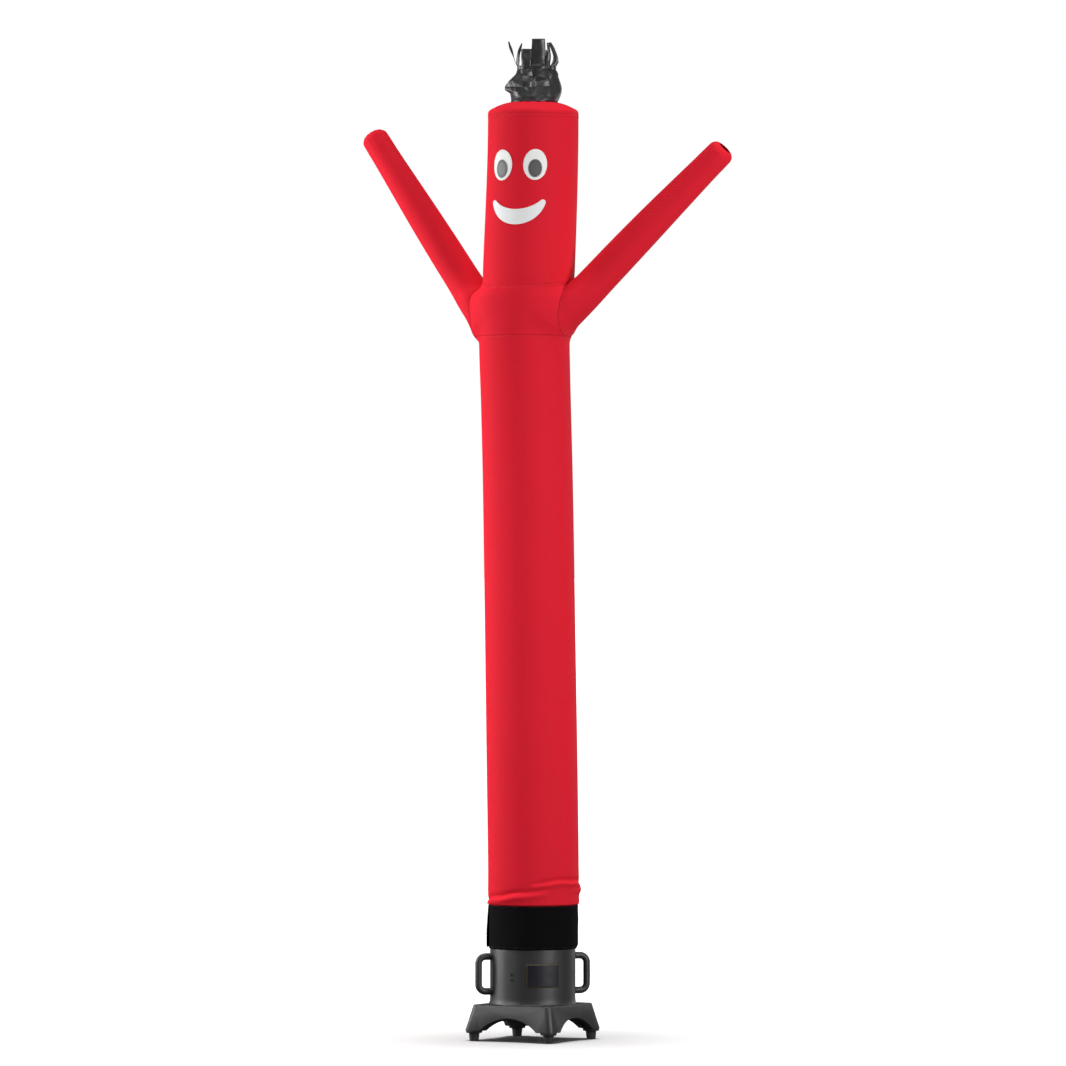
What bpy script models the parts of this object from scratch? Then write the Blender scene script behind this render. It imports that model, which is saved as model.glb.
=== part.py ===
"""Inflatable air dancer on its blower.

A thin nylon tube stands on a moulded duct blower and is held there by a hook-and-loop collar.
The face looks along -Y, the arms reach along +X and -X, and +Z is up.
The part's box is centred on the origin, and its feet stand at z = 0.
"""

import math
from collections import namedtuple

import bmesh
import bpy
from mathutils import Matrix, Vector

# ---------------------------------------------------------------- driving dimensions (metres)

CLOTH = 0.0015  # thickness of the nylon
GAP = 0.0004  # between pieces that touch
COLUMNS = 36  # faces round the tube
AXIS_X = -0.030  # the blower's axis, beside the middle of the part's box

SLEEVE_Z = 0.350  # lower edge of the nylon, inside the collar
SHOULDER_SEAM_Z = 2.500
NECK_SEAM_Z = 2.676  # at the front and the back
NECK_SEAM_RISE = 0.013  # how much higher the neck seam is over the arms
NECK_EASE = 0.016  # height of the rings that follow the neck seam, below and above it
NECK_FOLD = 0.050  # top of the fold above the neck seam

# The nylon tube: height, sideways lean of its middle, radius, and extra reach over the arms.
Section = namedtuple("Section", "z lean radius shoulder")
TUBE = (
    Section(0.3400, 0.0000, 0.1522, 0.0),
    Section(0.4790, 0.0000, 0.1522, 0.0),
    Section(0.4815, 0.0008, 0.1540, 0.0),
    Section(0.4824, 0.0024, 0.1592, 0.0),
    Section(0.4860, 0.0026, 0.1620, 0.0),
    Section(0.5000, 0.0026, 0.1624, 0.0),
    Section(0.6400, 0.0018, 0.1614, 0.0),
    Section(0.8500, -0.0006, 0.1614, 0.0),
    Section(1.4200, -0.0086, 0.1610, 0.0),
    Section(1.9850, -0.0182, 0.1600, 0.0),
    Section(2.2700, -0.0258, 0.1602, 0.0),
    Section(2.4500, -0.0312, 0.1612, 0.0),
    Section(2.5000, -0.0321, 0.1612, 0.0005),
    Section(2.5600, -0.0324, 0.1630, 0.0080),
    Section(2.6000, -0.0324, 0.1642, 0.0140),
    Section(2.6350, -0.0314, 0.1652, 0.0150),
    Section(2.6600, -0.0274, 0.1648, 0.0080),
    Section(2.6800, -0.0209, 0.1606, 0.0010),
    Section(2.7000, -0.0164, 0.1622, 0.0000),
    Section(2.7400, -0.0144, 0.1634, 0.0000),
    Section(3.2850, 0.0020, 0.1612, 0.0),
    Section(3.3000, 0.0020, 0.1612, 0.0),
)

# Folds of the gathered hem: a trough from one angle (degrees from +X) to another, with the
# heights of its ends, how far its middle rises, its depth and its half width.
Fold = namedtuple("Fold", "angle_from z_from angle_to z_to rise depth width")
FOLDS = (
    Fold(-172.0, 0.494, -50.0, 0.541, 0.004, 0.0060, 0.0085),
    Fold(-74.0, 0.558, 25.0, 0.556, 0.018, 0.0065, 0.0075),
    Fold(30.0, 0.520, 150.0, 0.548, 0.006, 0.0055, 0.0085),
)
FOLD_LOW_Z = 0.487
FOLD_HIGH_Z = 0.640
# Rings of the long tube: from, to, and how many steps.
FOLDED_LENGTH = (0.4960, 0.5960, 8)
PLAIN_LENGTH = (0.6400, 2.5000, 7)
YOKE_LENGTH = (2.5004, 2.6600, 6)
HEAD_LENGTH = (2.7800, 3.2850, 3)
ROLL = 1.00  # the cloth rolls out under a fold by this share of the fold's depth

# Domed top panel of the head: radius and height of each ring, from its seam to its vent.
TOP_PANEL = (
    (0.1612, 3.2854),
    (0.1608, 3.2930),
    (0.1580, 3.2998),
    (0.1420, 3.3100),
    (0.1150, 3.3222),
    (0.0920, 3.3288),
    (0.0700, 3.3320),
)

# Arms: angle of the root round the tube, height of the root's middle, level reach and rise
# from the root to the end of the straight part, and upward bow of the middle.
Arm = namedtuple("Arm", "name angle root_z reach rise bow")
ARMS = (
    Arm("arm_right", 0.0, 2.6000, 0.553, 0.540, 0.003),
    Arm("arm_left", 164.0, 2.5890, 0.478, 0.630, -0.001),
)
ARM_COLUMNS = 20
ROOT_CUTTER_LOW = 2.350  # the cutter that trims the arms' roots reaches from here
ROOT_CUTTER_HIGH = 2.900  # to here
# Radius of the arm by the share of the way from its root to its end.
ARM_TAPER = ((-0.16, 0.0600), (0.0, 0.0618), (0.05, 0.0623), (0.1, 0.0628), (0.16, 0.0626))
ARM_TAPER += ((0.28, 0.0616), (0.5, 0.0582))
ARM_TAPER += ((0.7, 0.0538), (0.88, 0.0500), (1.0, 0.0478))
BORE_SHARE = 0.2  # how much of the arm opens the shoulder
ROOT_WIDEN = 0.36  # how much wider across the tube an arm is at its root
ROOT_WIDEN_LENGTH = 0.170
# The drawn-in end past the straight part: distance along the arm and radius.
ARM_END = ((0.009, 0.0455), (0.017, 0.0400), (0.022, 0.0320), (0.024, 0.0255))

# Face, in arc length from the middle of the face and in height.
FACE_SHEET = 0.0010
EYE_TURN = math.radians(22.4)
EYE_Z = 3.1020
EYE_HALF_WIDTH = 0.0422
EYE_HALF_HEIGHT = 0.0545
PUPIL_Z = 3.0890
PUPIL_HALF_WIDTH = 0.0240
PUPIL_HALF_HEIGHT = 0.0320
EYE_SPANS = 13
PUPIL_SPANS = 9
SMILE_SPANS = 25
SMILE_LOW_Z = 2.8910
SMILE_HIGH_Z = 2.9450
SMILE_LOW_RADIUS = 0.1095
SMILE_HIGH_RADIUS = 0.1362
SMILE_TIP_RADIUS = 0.0105

# Hair, described along its wide direction, which is turned from +X.
HAIR_TURN = math.radians(19.0)
HAIR_COLUMNS = 24
# Cuff: height, half width, half depth and sideways shift of each ring.
Cuff = namedtuple("Cuff", "z half_width half_depth shift")
CUFF = (
    Cuff(3.3312, 0.0825, 0.0815, 0.003),
    Cuff(3.3420, 0.0850, 0.0820, 0.006),
    Cuff(3.3620, 0.0910, 0.0790, 0.007),
    Cuff(3.3820, 0.0945, 0.0760, 0.006),
    Cuff(3.4100, 0.0900, 0.0700, 0.008),
    Cuff(3.4300, 0.0810, 0.0600, 0.011),
    Cuff(3.4460, 0.0680, 0.0500, 0.009),
)
CRUMPLE = 0.085  # strength of the folds at the top of the cuff
CUFF_SPIKE_ANGLE = math.radians(188.0)
CUFF_SPIKE = 0.022  # the folded corner that stands out on one side
STRIP_ROOT_Z = 3.4580
# Strips: first column and columns wide, top height, how far the tip moves sideways and to
# the front, how far the middle bows sideways and to the front, the tip's width to the root's,
# and the extra width of the middle.
Strip = namedtuple("Strip", "column span top side front bow_side bow_front tip swell")
STRIPS = (
    Strip(12, 1, 3.546, -0.032, 0.004, -0.002, 0.002, 1.2, 0.2),
    Strip(13, 1, 3.540, 0.006, 0.006, -0.005, 0.003, 0.8, 0.2),
    Strip(15, 2, 3.519, 0.000, -0.002, 0.000, 0.004, 1.12, 0.0),
    Strip(17, 3, 3.554, 0.000, 0.006, 0.000, -0.006, 0.92, 0.0),
    Strip(20, 1, 3.541, 0.004, -0.004, 0.004, -0.004, 0.7, 0.1),
    Strip(21, 2, 3.543, -0.004, -0.004, 0.020, -0.002, 0.7, 0.35),
    Strip(23, 1, 3.484, 0.010, 0.004, 0.004, 0.002, 0.7, 0.0),
    Strip(2, 2, 3.520, -0.014, -0.006, -0.004, -0.004, 0.9, 0.0),
    Strip(5, 3, 3.512, -0.006, 0.004, 0.004, -0.006, 0.9, 0.0),
    Strip(9, 2, 3.508, 0.012, -0.006, 0.002, -0.006, 0.9, 0.0),
)
STRIP_SHEET = 0.0012
STRIP_STEPS = 5
BOW_POWER = 0.65  # under 1, so the bows are widest below the middle

# Collar: a band wound once round the sleeve, its outer end overlapping and standing off.
COLLAR_SHEET = 0.0018
COLLAR_START = 140
COLLAR_END = 565
COLLAR_LIFT_FROM = 490  # the outer layer lies over the inner one from here on
COLLAR_LAYER = 0.0026  # from one layer of the overlap to the next
COLLAR_FLAP = 0.0075  # how far the loose end stands off
COLLAR_SLACK_TURN = math.radians(19.0)
# Height, inner radius, sideways slack, and share of the loose end's lift.
CollarRow = namedtuple("CollarRow", "z radius slack lift")
COLLAR_ROWS = (
    CollarRow(0.3265, 0.1532, 0.0000, 0.75),
    CollarRow(0.3420, 0.1566, 0.0032, 1.00),
    CollarRow(0.3800, 0.1566, 0.0032, 1.00),
    CollarRow(0.4300, 0.1566, 0.0032, 0.60),
    CollarRow(0.4790, 0.1560, 0.0030, 0.05),
)

# Blower: its own frame is turned so that the label is over one corner of the square base.
BLOWER_TURN = math.radians(-11.0)
BLOWER_COLUMNS = 40
PLATE_Z = 0.1282
RIM_Z = 0.0370
PLATE_HALF = 0.1597
RIM_HALF = 0.1811
CORNER_ROUND = 0.0220
PLATE_EDGE = 0.0040
INTAKE_RADIUS = 0.1320
CAVITY_HALF = 0.1440  # the square hollow under the plate
CAVITY_CORNER = 0.0300  # cut off its corners, which leaves the legs room for the feet
CEILING_Z = 0.1080
ARCH_RADIUS = 0.1640
ARCH_CROWN_Z = 0.0827
ARCH_FLARE = 0.21  # widening of the arch for each metre outwards
ARCH_INNER = 0.100  # where the arch cutter starts and ends, from the axis
ARCH_OUTER = 0.220
DUCT_RADIUS = 0.1517
DUCT_WALL = 0.0060
FLARE_REACH = 0.0068
FLARE_HEIGHT = 0.0240
FLARE_STEPS = 5
SPIGOT_Z = 0.3340
SPIGOT_RADIUS = 0.1495
DUCT_TOP = 0.4650
HANDLE_BAR = 0.0122
HANDLE_REACH = 0.1987
HANDLE_LOW = 0.1740
HANDLE_HIGH = 0.2978
HANDLE_BEND = 0.0250
ARCH_SEGMENTS = 64
HANDLE_BEND_STEPS = 5
SMALL_COLUMNS = 16  # round the feet, the gland and the screws
FOOT_OFFSET = 0.1520
# A foot's outline from the underside of the leg down: radius and height.
FOOT_OUTLINE = (
    (0.0292, 0.0366),
    (0.0292, 0.0306),
    (0.0270, 0.0281),
    (0.0190, 0.0276),
    (0.0162, 0.0015),
    (0.0148, 0.0000),
)
LABEL_ANGLE = math.radians(-45.0)
LABEL_HALF_TURN = math.radians(23.8)
LABEL_Z = 0.2346
LABEL_HALF_HEIGHT = 0.0415
LABEL_CORNER = 0.0060
LABEL_SHEET = 0.0012
LABEL_SPANS = 14
SCREW_ANGLE = math.radians(-89.2)
SCREW_HEIGHTS = (("screw_upper", 0.2387), ("screw_lower", 0.2195))
SCREW_RADIUS = 0.0042
SCREW_HEIGHT = 0.0024
GLAND_ANGLE = math.radians(135.0)
GLAND_Z = 0.1950
# The gland's outline from its tip to its flange: radius and distance from the duct.
GLAND_OUTLINE = (
    (0.0060, 0.0270),
    (0.0080, 0.0250),
    (0.0088, 0.0120),
    (0.0110, 0.0115),
    (0.0120, 0.0105),
    (0.0120, 0.0045),
    (0.0150, 0.0035),
    (0.0150, 0.0000),
)

# ---------------------------------------------------------------- scene and materials


def clear_scene():
    """Remove every object, so the model starts from an empty scene."""
    for item in list(bpy.data.objects):
        bpy.data.objects.remove(item, do_unlink=True)


def new_collection(name):
    """A collection in the scene."""
    group = bpy.data.collections.new(name)
    bpy.context.scene.collection.children.link(group)
    return group


def new_material(name, colour, roughness, metallic=0.0):
    """A plain Principled material."""
    material = bpy.data.materials.new(name)
    material.use_nodes = True
    shader = material.node_tree.nodes["Principled BSDF"]
    shader.inputs["Base Color"].default_value = (*colour, 1.0)
    shader.inputs["Roughness"].default_value = roughness
    shader.inputs["Metallic"].default_value = metallic
    material.diffuse_color = (*colour, 1.0)
    return material


def add_object(name, data, group, parent, material=None):
    """Link new object data to a collection, under a parent empty."""
    item = bpy.data.objects.new(name, data)
    group.objects.link(item)
    item.parent = parent
    if material is not None:
        data.materials.append(material)
    return item


def add_empty(name, group, location, turn=0.0):
    """An empty that places everything parented to it."""
    empty = bpy.data.objects.new(name, None)
    group.objects.link(empty)
    empty.location = location
    empty.rotation_euler = (0.0, 0.0, turn)
    return empty


def mesh_from(bm, name, smooth=True):
    """Turn a bmesh into mesh data, shaded smooth up to 40 degrees."""
    mesh = bpy.data.meshes.new(name)
    bm.to_mesh(mesh)
    bm.free()
    if smooth:
        mesh.shade_smooth()
        mesh.set_sharp_from_angle(angle=math.radians(40.0))
    return mesh


def add_wall(item, thickness, offset=-1.0):
    """Give an open surface its thickness, inwards by default."""
    wall = item.modifiers.new("wall", "SOLIDIFY")
    wall.thickness = thickness
    wall.offset = offset
    wall.use_even_offset = True
    wall.use_rim = True


def add_cut(item, cutter):
    """Cut one object with another."""
    cut = item.modifiers.new("cut " + cutter.name, "BOOLEAN")
    cut.operation = "DIFFERENCE"
    cut.solver = "EXACT"
    cut.object = cutter


def as_cutter(item):
    """Show an object as a wire guide that is left out of the model."""
    item.hide_render = True
    item.display_type = "WIRE"
    return item


# ---------------------------------------------------------------- shared shapes


def section_at(z):
    """The tube's lean, radius and shoulder at a height, straight between its sections."""
    for low, high in zip(TUBE, TUBE[1:]):
        if z <= high.z:
            break
    share = max(0.0, min(1.0, (z - low.z) / (high.z - low.z)))
    return [a + (b - a) * share for a, b in zip(low[1:], high[1:])]


def fold_relief(angle, z):
    """How far the hem's folds move the cloth in or out, at an angle in degrees."""
    relief = 0.0
    for fold in FOLDS:
        turned = (angle - fold.angle_from) % 360.0
        share = turned / (fold.angle_to - fold.angle_from)
        if share >= 1.0:
            continue
        centre = fold.z_from + (fold.z_to - fold.z_from) * share
        centre += fold.rise * 4.0 * share * (1.0 - share)
        ends = math.sin(math.pi * share) ** 0.5
        off = (z - centre) / fold.width
        trough = math.exp(-(off**2))
        roll = ROLL * math.exp(-(((off + 2.3) / 1.7) ** 2))
        relief += fold.depth * ends * (roll - trough)
    return relief


def tube_point(angle, z, out=0.0):
    """A point on the nylon tube, at an angle in radians from +X, moved out by a distance."""
    lean, radius, shoulder = section_at(z)
    radius += shoulder * math.cos(angle) ** 2
    if FOLD_LOW_Z < z < FOLD_HIGH_Z:
        radius += fold_relief(math.degrees(angle), z)
    radius += out
    return Vector((lean + radius * math.cos(angle), radius * math.sin(angle), z))


def even_steps(start, stop, count):
    """Evenly spaced values, both ends included."""
    return [start + (stop - start) * i / count for i in range(count + 1)]


def ring_angles(count):
    """Angles of a ring's columns, in radians."""
    return [2.0 * math.pi * i / count for i in range(count)]


def loft(rings, caps=False):
    """A closed-round surface through rings, the ends filled for a solid."""
    bm = bmesh.new()
    rows = [[bm.verts.new(point) for point in ring] for ring in rings]
    for low, high in zip(rows, rows[1:]):
        for i, vert in enumerate(low):
            after = (i + 1) % len(low)
            bm.faces.new((vert, low[after], high[after], high[i]))
    if caps:
        bm.faces.new(list(reversed(rows[0])))
        bm.faces.new(rows[-1])
    return bm


def sheet(columns):
    """An open surface through columns of points, each listed from its low end up."""
    bm = bmesh.new()
    lines = [[bm.verts.new(point) for point in column] for column in columns]
    for left, right in zip(lines, lines[1:]):
        for i in range(len(left) - 1):
            bm.faces.new((left[i], right[i], right[i + 1], left[i + 1]))
    return bm


def turned(name, profile, closed, columns, group, parent, material):
    """A piece turned on Z: its profile runs down the outer side, then up the inner one."""
    mesh = bpy.data.meshes.new(name)
    count = len(profile)
    edges = [(i, i + 1) for i in range(count - 1)]
    if closed:
        edges.append((count - 1, 0))
    mesh.from_pydata([(radius, 0.0, z) for radius, z in profile], edges, [])
    item = add_object(name, mesh, group, parent, material)
    screw = item.modifiers.new("turn", "SCREW")
    screw.axis = "Z"
    screw.angle = 2.0 * math.pi
    screw.steps = columns
    screw.render_steps = columns
    screw.use_merge_vertices = True
    screw.merge_threshold = 0.00005
    screw.use_smooth_shade = True
    return item


# ---------------------------------------------------------------- nylon pieces


def make_body_tube(group, parent, material):
    """The long tube, from its sleeve inside the collar to the shoulder seam."""
    heights = [SLEEVE_Z] + [section.z for section in TUBE[1:5]]
    heights += even_steps(*FOLDED_LENGTH)
    heights += even_steps(*PLAIN_LENGTH)
    rings = [[tube_point(a, z) for a in ring_angles(COLUMNS)] for z in heights]
    item = add_object("body_tube", mesh_from(loft(rings), "body_tube"), group, parent, material)
    add_wall(item, CLOTH)
    return item


def neck_z(angle):
    """Height of the neck seam round the tube."""
    return NECK_SEAM_Z + NECK_SEAM_RISE * math.cos(angle) ** 2


def yoke_rings(out):
    """Rings of the shoulder between its two seams."""
    rings = []
    for z in even_steps(*YOKE_LENGTH):
        rings.append([tube_point(a, z, out) for a in ring_angles(COLUMNS)])
    for drop in (0.5 * NECK_EASE, 0.0):
        rings.append([tube_point(a, neck_z(a) - drop, out) for a in ring_angles(COLUMNS)])
    return rings


def make_yoke(group, parent, material, bores):
    """The shoulder section, open where the arms join it."""
    mesh = mesh_from(loft(yoke_rings(0.0)), "shoulder_yoke")
    item = add_object("shoulder_yoke", mesh, group, parent, material)
    add_wall(item, CLOTH)
    for bore in bores:
        add_cut(item, bore)
    return item


def make_root_cutter(group, parent):
    """A filled copy of the tube round the shoulder, which trims the roots of the arms."""
    rings = []
    for z in (ROOT_CUTTER_LOW, SHOULDER_SEAM_Z):
        rings.append([tube_point(a, z, GAP) for a in ring_angles(COLUMNS)])
    rings += yoke_rings(GAP)
    for rise in (NECK_EASE, NECK_FOLD):
        rings.append([tube_point(a, neck_z(a) + rise, GAP) for a in ring_angles(COLUMNS)])
    rings.append([tube_point(a, ROOT_CUTTER_HIGH, GAP) for a in ring_angles(COLUMNS)])
    mesh = mesh_from(loft(rings, caps=True), "cut_roots", smooth=False)
    return as_cutter(add_object("cut_roots", mesh, group, parent))


def make_head_tube(group, parent, material):
    """The head's side, from the neck seam to the seam of its top panel."""
    angles = ring_angles(COLUMNS)
    rings = [[tube_point(a, neck_z(a) + GAP) for a in angles]]
    for rise in (NECK_EASE, NECK_FOLD):
        rings.append([tube_point(a, neck_z(a) + rise) for a in angles])
    for z in even_steps(*HEAD_LENGTH):
        rings.append([tube_point(a, z) for a in angles])
    item = add_object("head_tube", mesh_from(loft(rings), "head_tube"), group, parent, material)
    add_wall(item, CLOTH)
    return item


def make_head_top(group, parent, material):
    """The domed top panel, with the vent under the hair."""
    rings = []
    for radius, z in TOP_PANEL:
        middle = Vector((TUBE[-1].lean, 0.0, z))
        spokes = ring_angles(COLUMNS)
        rings.append([middle + Vector((math.cos(a), math.sin(a), 0.0)) * radius for a in spokes])
    item = add_object("head_top", mesh_from(loft(rings), "head_top"), group, parent, material)
    add_wall(item, CLOTH)
    return item


def arm_rings(arm, inset, to_end):
    """Rings of one arm, from inside the shoulder outwards; inset makes them narrower."""
    turn = math.radians(arm.angle)
    level = Vector((math.cos(turn), math.sin(turn), 0.0))
    run = (level * arm.reach + Vector((0.0, 0.0, arm.rise)))
    length = run.length
    along = run / length
    across = Vector((-math.sin(turn), math.cos(turn), 0.0))
    over = along.cross(across)
    root = tube_point(turn, arm.root_z)
    rings = []

    def add_ring(distance, radius):
        share = distance / length
        bow = arm.bow * math.sin(math.pi * max(0.0, min(1.0, share)))
        centre = root + along * distance + over * bow
        near = max(0.0, 1.0 - max(0.0, distance) / ROOT_WIDEN_LENGTH)
        wide = across * (1.0 + ROOT_WIDEN * near * near * (3.0 - 2.0 * near))
        spokes = ring_angles(ARM_COLUMNS)
        ring = [centre + (wide * math.cos(a) + over * math.sin(a)) * (radius - inset) for a in spokes]
        rings.append(ring)

    for share, radius in ARM_TAPER:
        if to_end or share < BORE_SHARE:
            add_ring(share * length, radius)
    if to_end:
        for distance, radius in ARM_END:
            add_ring(length + distance, radius)
    return rings


def make_bore(arm, group, parent):
    """A filled copy of the arm's inside, which opens the shoulder."""
    rings = arm_rings(arm, CLOTH, to_end=False)
    name = "cut_bore_" + arm.name
    mesh = mesh_from(loft(rings, caps=True), name, smooth=False)
    return as_cutter(add_object(name, mesh, group, parent))


def make_arm(arm, group, parent, material, root_cutter):
    """One arm, trimmed to the shoulder at its root and open at its drawn-in end."""
    mesh = mesh_from(loft(arm_rings(arm, 0.0, to_end=True)), arm.name)
    item = add_object(arm.name, mesh, group, parent, material)
    add_wall(item, CLOTH)
    add_cut(item, root_cutter)
    return item


# ---------------------------------------------------------------- face


def face_point(arc, z, out):
    """A point on the head, by arc length from the middle of the face."""
    radius = TUBE[-1].radius
    return tube_point(-0.5 * math.pi + arc / radius, z, out)


def make_patch(name, spans, surface, layer, thickness, group, parent, material):
    """A thin piece on a curved surface, from (across, low, high) spans."""
    columns = [(surface(x, low, layer), surface(x, high, layer)) for x, low, high in spans]
    item = add_object(name, mesh_from(sheet(columns), name), group, parent, material)
    add_wall(item, thickness, offset=1.0)
    return item


def oval_spans(centre, z, half_width, half_height, count):
    """Spans of an oval, closest together towards its ends."""
    spans = []
    for i in range(count):
        turn = math.pi * (i + 0.5) / count
        half = half_height * math.sin(turn)
        spans.append((centre - half_width * math.cos(turn), z - half, z + half))
    return spans


def smile_tip():
    """Reach and height of the round tip that touches both edges of the mouth."""
    near = SMILE_LOW_RADIUS - SMILE_TIP_RADIUS
    far = SMILE_HIGH_RADIUS + SMILE_TIP_RADIUS
    low = SMILE_LOW_Z + SMILE_LOW_RADIUS
    high = SMILE_HIGH_Z + SMILE_HIGH_RADIUS
    z = 0.5 * (low + high) - 0.5 * (far**2 - near**2) / (high - low)
    return math.sqrt(near**2 - (z - low) ** 2), z


def smile_spans(count):
    """Spans of the crescent mouth with its rounded tips."""
    tip_reach, tip_z = smile_tip()
    touch_low = SMILE_LOW_RADIUS * tip_reach / (SMILE_LOW_RADIUS - SMILE_TIP_RADIUS)
    touch_high = SMILE_HIGH_RADIUS * tip_reach / (SMILE_HIGH_RADIUS + SMILE_TIP_RADIUS)
    reach = tip_reach + SMILE_TIP_RADIUS * 0.96
    spans = []
    for i in range(count):
        x = -reach * math.cos(math.pi * i / (count - 1))
        low = SMILE_LOW_Z + SMILE_LOW_RADIUS - math.sqrt(SMILE_LOW_RADIUS**2 - x**2)
        high = SMILE_HIGH_Z + SMILE_HIGH_RADIUS - math.sqrt(SMILE_HIGH_RADIUS**2 - x**2)
        half = math.sqrt(max(0.0, SMILE_TIP_RADIUS**2 - (abs(x) - tip_reach) ** 2))
        if abs(x) > touch_high:
            high = tip_z + half
        if abs(x) > touch_low:
            low = tip_z - half
        spans.append((x, low, high))
    return spans


def make_face(group, parent, white, grey):
    """The two eyes with their pupils, and the mouth."""
    radius = TUBE[-1].radius
    over = GAP + FACE_SHEET + GAP
    for side, sign in (("left", -1.0), ("right", 1.0)):
        middle = sign * EYE_TURN * radius
        eye = oval_spans(middle, EYE_Z, EYE_HALF_WIDTH, EYE_HALF_HEIGHT, EYE_SPANS)
        make_patch("eye_" + side, eye, face_point, GAP, FACE_SHEET, group, parent, white)
        pupil = oval_spans(middle, PUPIL_Z, PUPIL_HALF_WIDTH, PUPIL_HALF_HEIGHT, PUPIL_SPANS)
        make_patch("pupil_" + side, pupil, face_point, over, FACE_SHEET, group, parent, grey)
    spans = smile_spans(SMILE_SPANS)
    make_patch("smile", spans, face_point, GAP, FACE_SHEET, group, parent, white)


# ---------------------------------------------------------------- hair


def hair_point(angle, row, z, crumple):
    """A point on the hair's oval ring; crumple is the strength of its folds."""
    side = Vector((math.cos(HAIR_TURN), math.sin(HAIR_TURN), 0.0))
    back = Vector((-math.sin(HAIR_TURN), math.cos(HAIR_TURN), 0.0))
    folds = 0.60 * math.sin(5.0 * angle + 0.7) + 0.40 * math.sin(8.0 * angle + 40.0 * z)
    scale = 1.0 + crumple * folds
    off = math.atan2(math.sin(angle - CUFF_SPIKE_ANGLE), math.cos(angle - CUFF_SPIKE_ANGLE))
    spike = CUFF_SPIKE * math.exp(-((off / 0.20) ** 2) - ((z - 3.382) / 0.012) ** 2)
    width = row.shift + (row.half_width * scale + spike) * math.cos(angle)
    depth = row.half_depth * scale * math.sin(angle)
    return side * width + back * depth + Vector((TUBE[-1].lean, 0.0, z))


def make_cuff(group, parent, material):
    """The gathered, crumpled tube that the strips stand on."""
    rings = []
    for i, row in enumerate(CUFF):
        crumple = CRUMPLE * i / (len(CUFF) - 1)
        rings.append([hair_point(a, row, row.z, crumple) for a in ring_angles(HAIR_COLUMNS)])
    item = add_object("hair_cuff", mesh_from(loft(rings), "hair_cuff"), group, parent, material)
    add_wall(item, CLOTH)
    return item


def strip_level(strip, roots, share):
    """One level of a strip, at a share of the way from its root to its tip."""
    side = Vector((math.cos(HAIR_TURN), math.sin(HAIR_TURN), 0.0))
    front = Vector((math.sin(HAIR_TURN), -math.cos(HAIR_TURN), 0.0))
    middle = sum(roots, Vector()) / len(roots)
    bow = math.sin(math.pi * share**BOW_POWER)
    middle_now = middle + side * (strip.side * share + strip.bow_side * bow)
    middle_now += front * (strip.front * share + strip.bow_front * bow)
    middle_now.z += (strip.top - middle.z) * share
    width = 1.0 + (strip.tip - 1.0) * share + strip.swell * bow
    return [middle_now + (root - middle) * width for root in roots]


def make_strips(group, parent, material):
    """The cut strips, fused at their roots to one narrow ring."""
    bm = bmesh.new()
    row = CUFF[-1]
    angles = ring_angles(HAIR_COLUMNS)
    low = [bm.verts.new(hair_point(a, row, row.z + GAP, CRUMPLE)) for a in angles]
    tops = [hair_point(a, row, STRIP_ROOT_Z, CRUMPLE) for a in angles]
    high = [bm.verts.new(point) for point in tops]
    for i in range(HAIR_COLUMNS):
        after = (i + 1) % HAIR_COLUMNS
        bm.faces.new((low[i], low[after], high[after], high[i]))
    for strip in STRIPS:
        picks = [(strip.column + i) % HAIR_COLUMNS for i in range(strip.span + 1)]
        below = [high[i] for i in picks]
        roots = [tops[i].copy() for i in picks]
        for step in range(1, STRIP_STEPS + 1):
            level = strip_level(strip, roots, step / STRIP_STEPS)
            above = [bm.verts.new(point) for point in level]
            for i in range(strip.span):
                bm.faces.new((below[i], below[i + 1], above[i + 1], above[i]))
            below = above
    item = add_object("hair_strips", mesh_from(bm, "hair_strips"), group, parent, material)
    add_wall(item, STRIP_SHEET)
    return item


# ---------------------------------------------------------------- collar


def collar_point(degrees, row):
    """A point on the inside of the collar, where the angle runs on past one full turn."""
    angle = math.radians(degrees)
    slack = row.slack * math.cos(angle - COLLAR_SLACK_TURN)
    layer = max(0.0, min(1.0, (degrees - COLLAR_LIFT_FROM + 40.0) / 40.0))
    flap = max(0.0, (degrees - COLLAR_END + 35.0) / 35.0) ** 1.5
    radius = row.radius + slack + COLLAR_LAYER * layer + COLLAR_FLAP * flap * row.lift
    lift_z = 0.004 * layer if row is COLLAR_ROWS[0] else 0.0
    return Vector((radius * math.cos(angle), radius * math.sin(angle), row.z + lift_z))


def make_collar(group, parent, material):
    """The black hook-and-loop band with its overlapping loose end."""
    turns = list(range(COLLAR_START, COLLAR_END + 1, 10))
    if turns[-1] != COLLAR_END:
        turns.append(COLLAR_END)
    columns = [[collar_point(degrees, row) for row in COLLAR_ROWS] for degrees in turns]
    mesh = mesh_from(sheet(columns), "collar_band")
    item = add_object("collar_band", mesh, group, parent, material)
    add_wall(item, COLLAR_SHEET, offset=1.0)
    return item


# ---------------------------------------------------------------- blower


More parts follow.
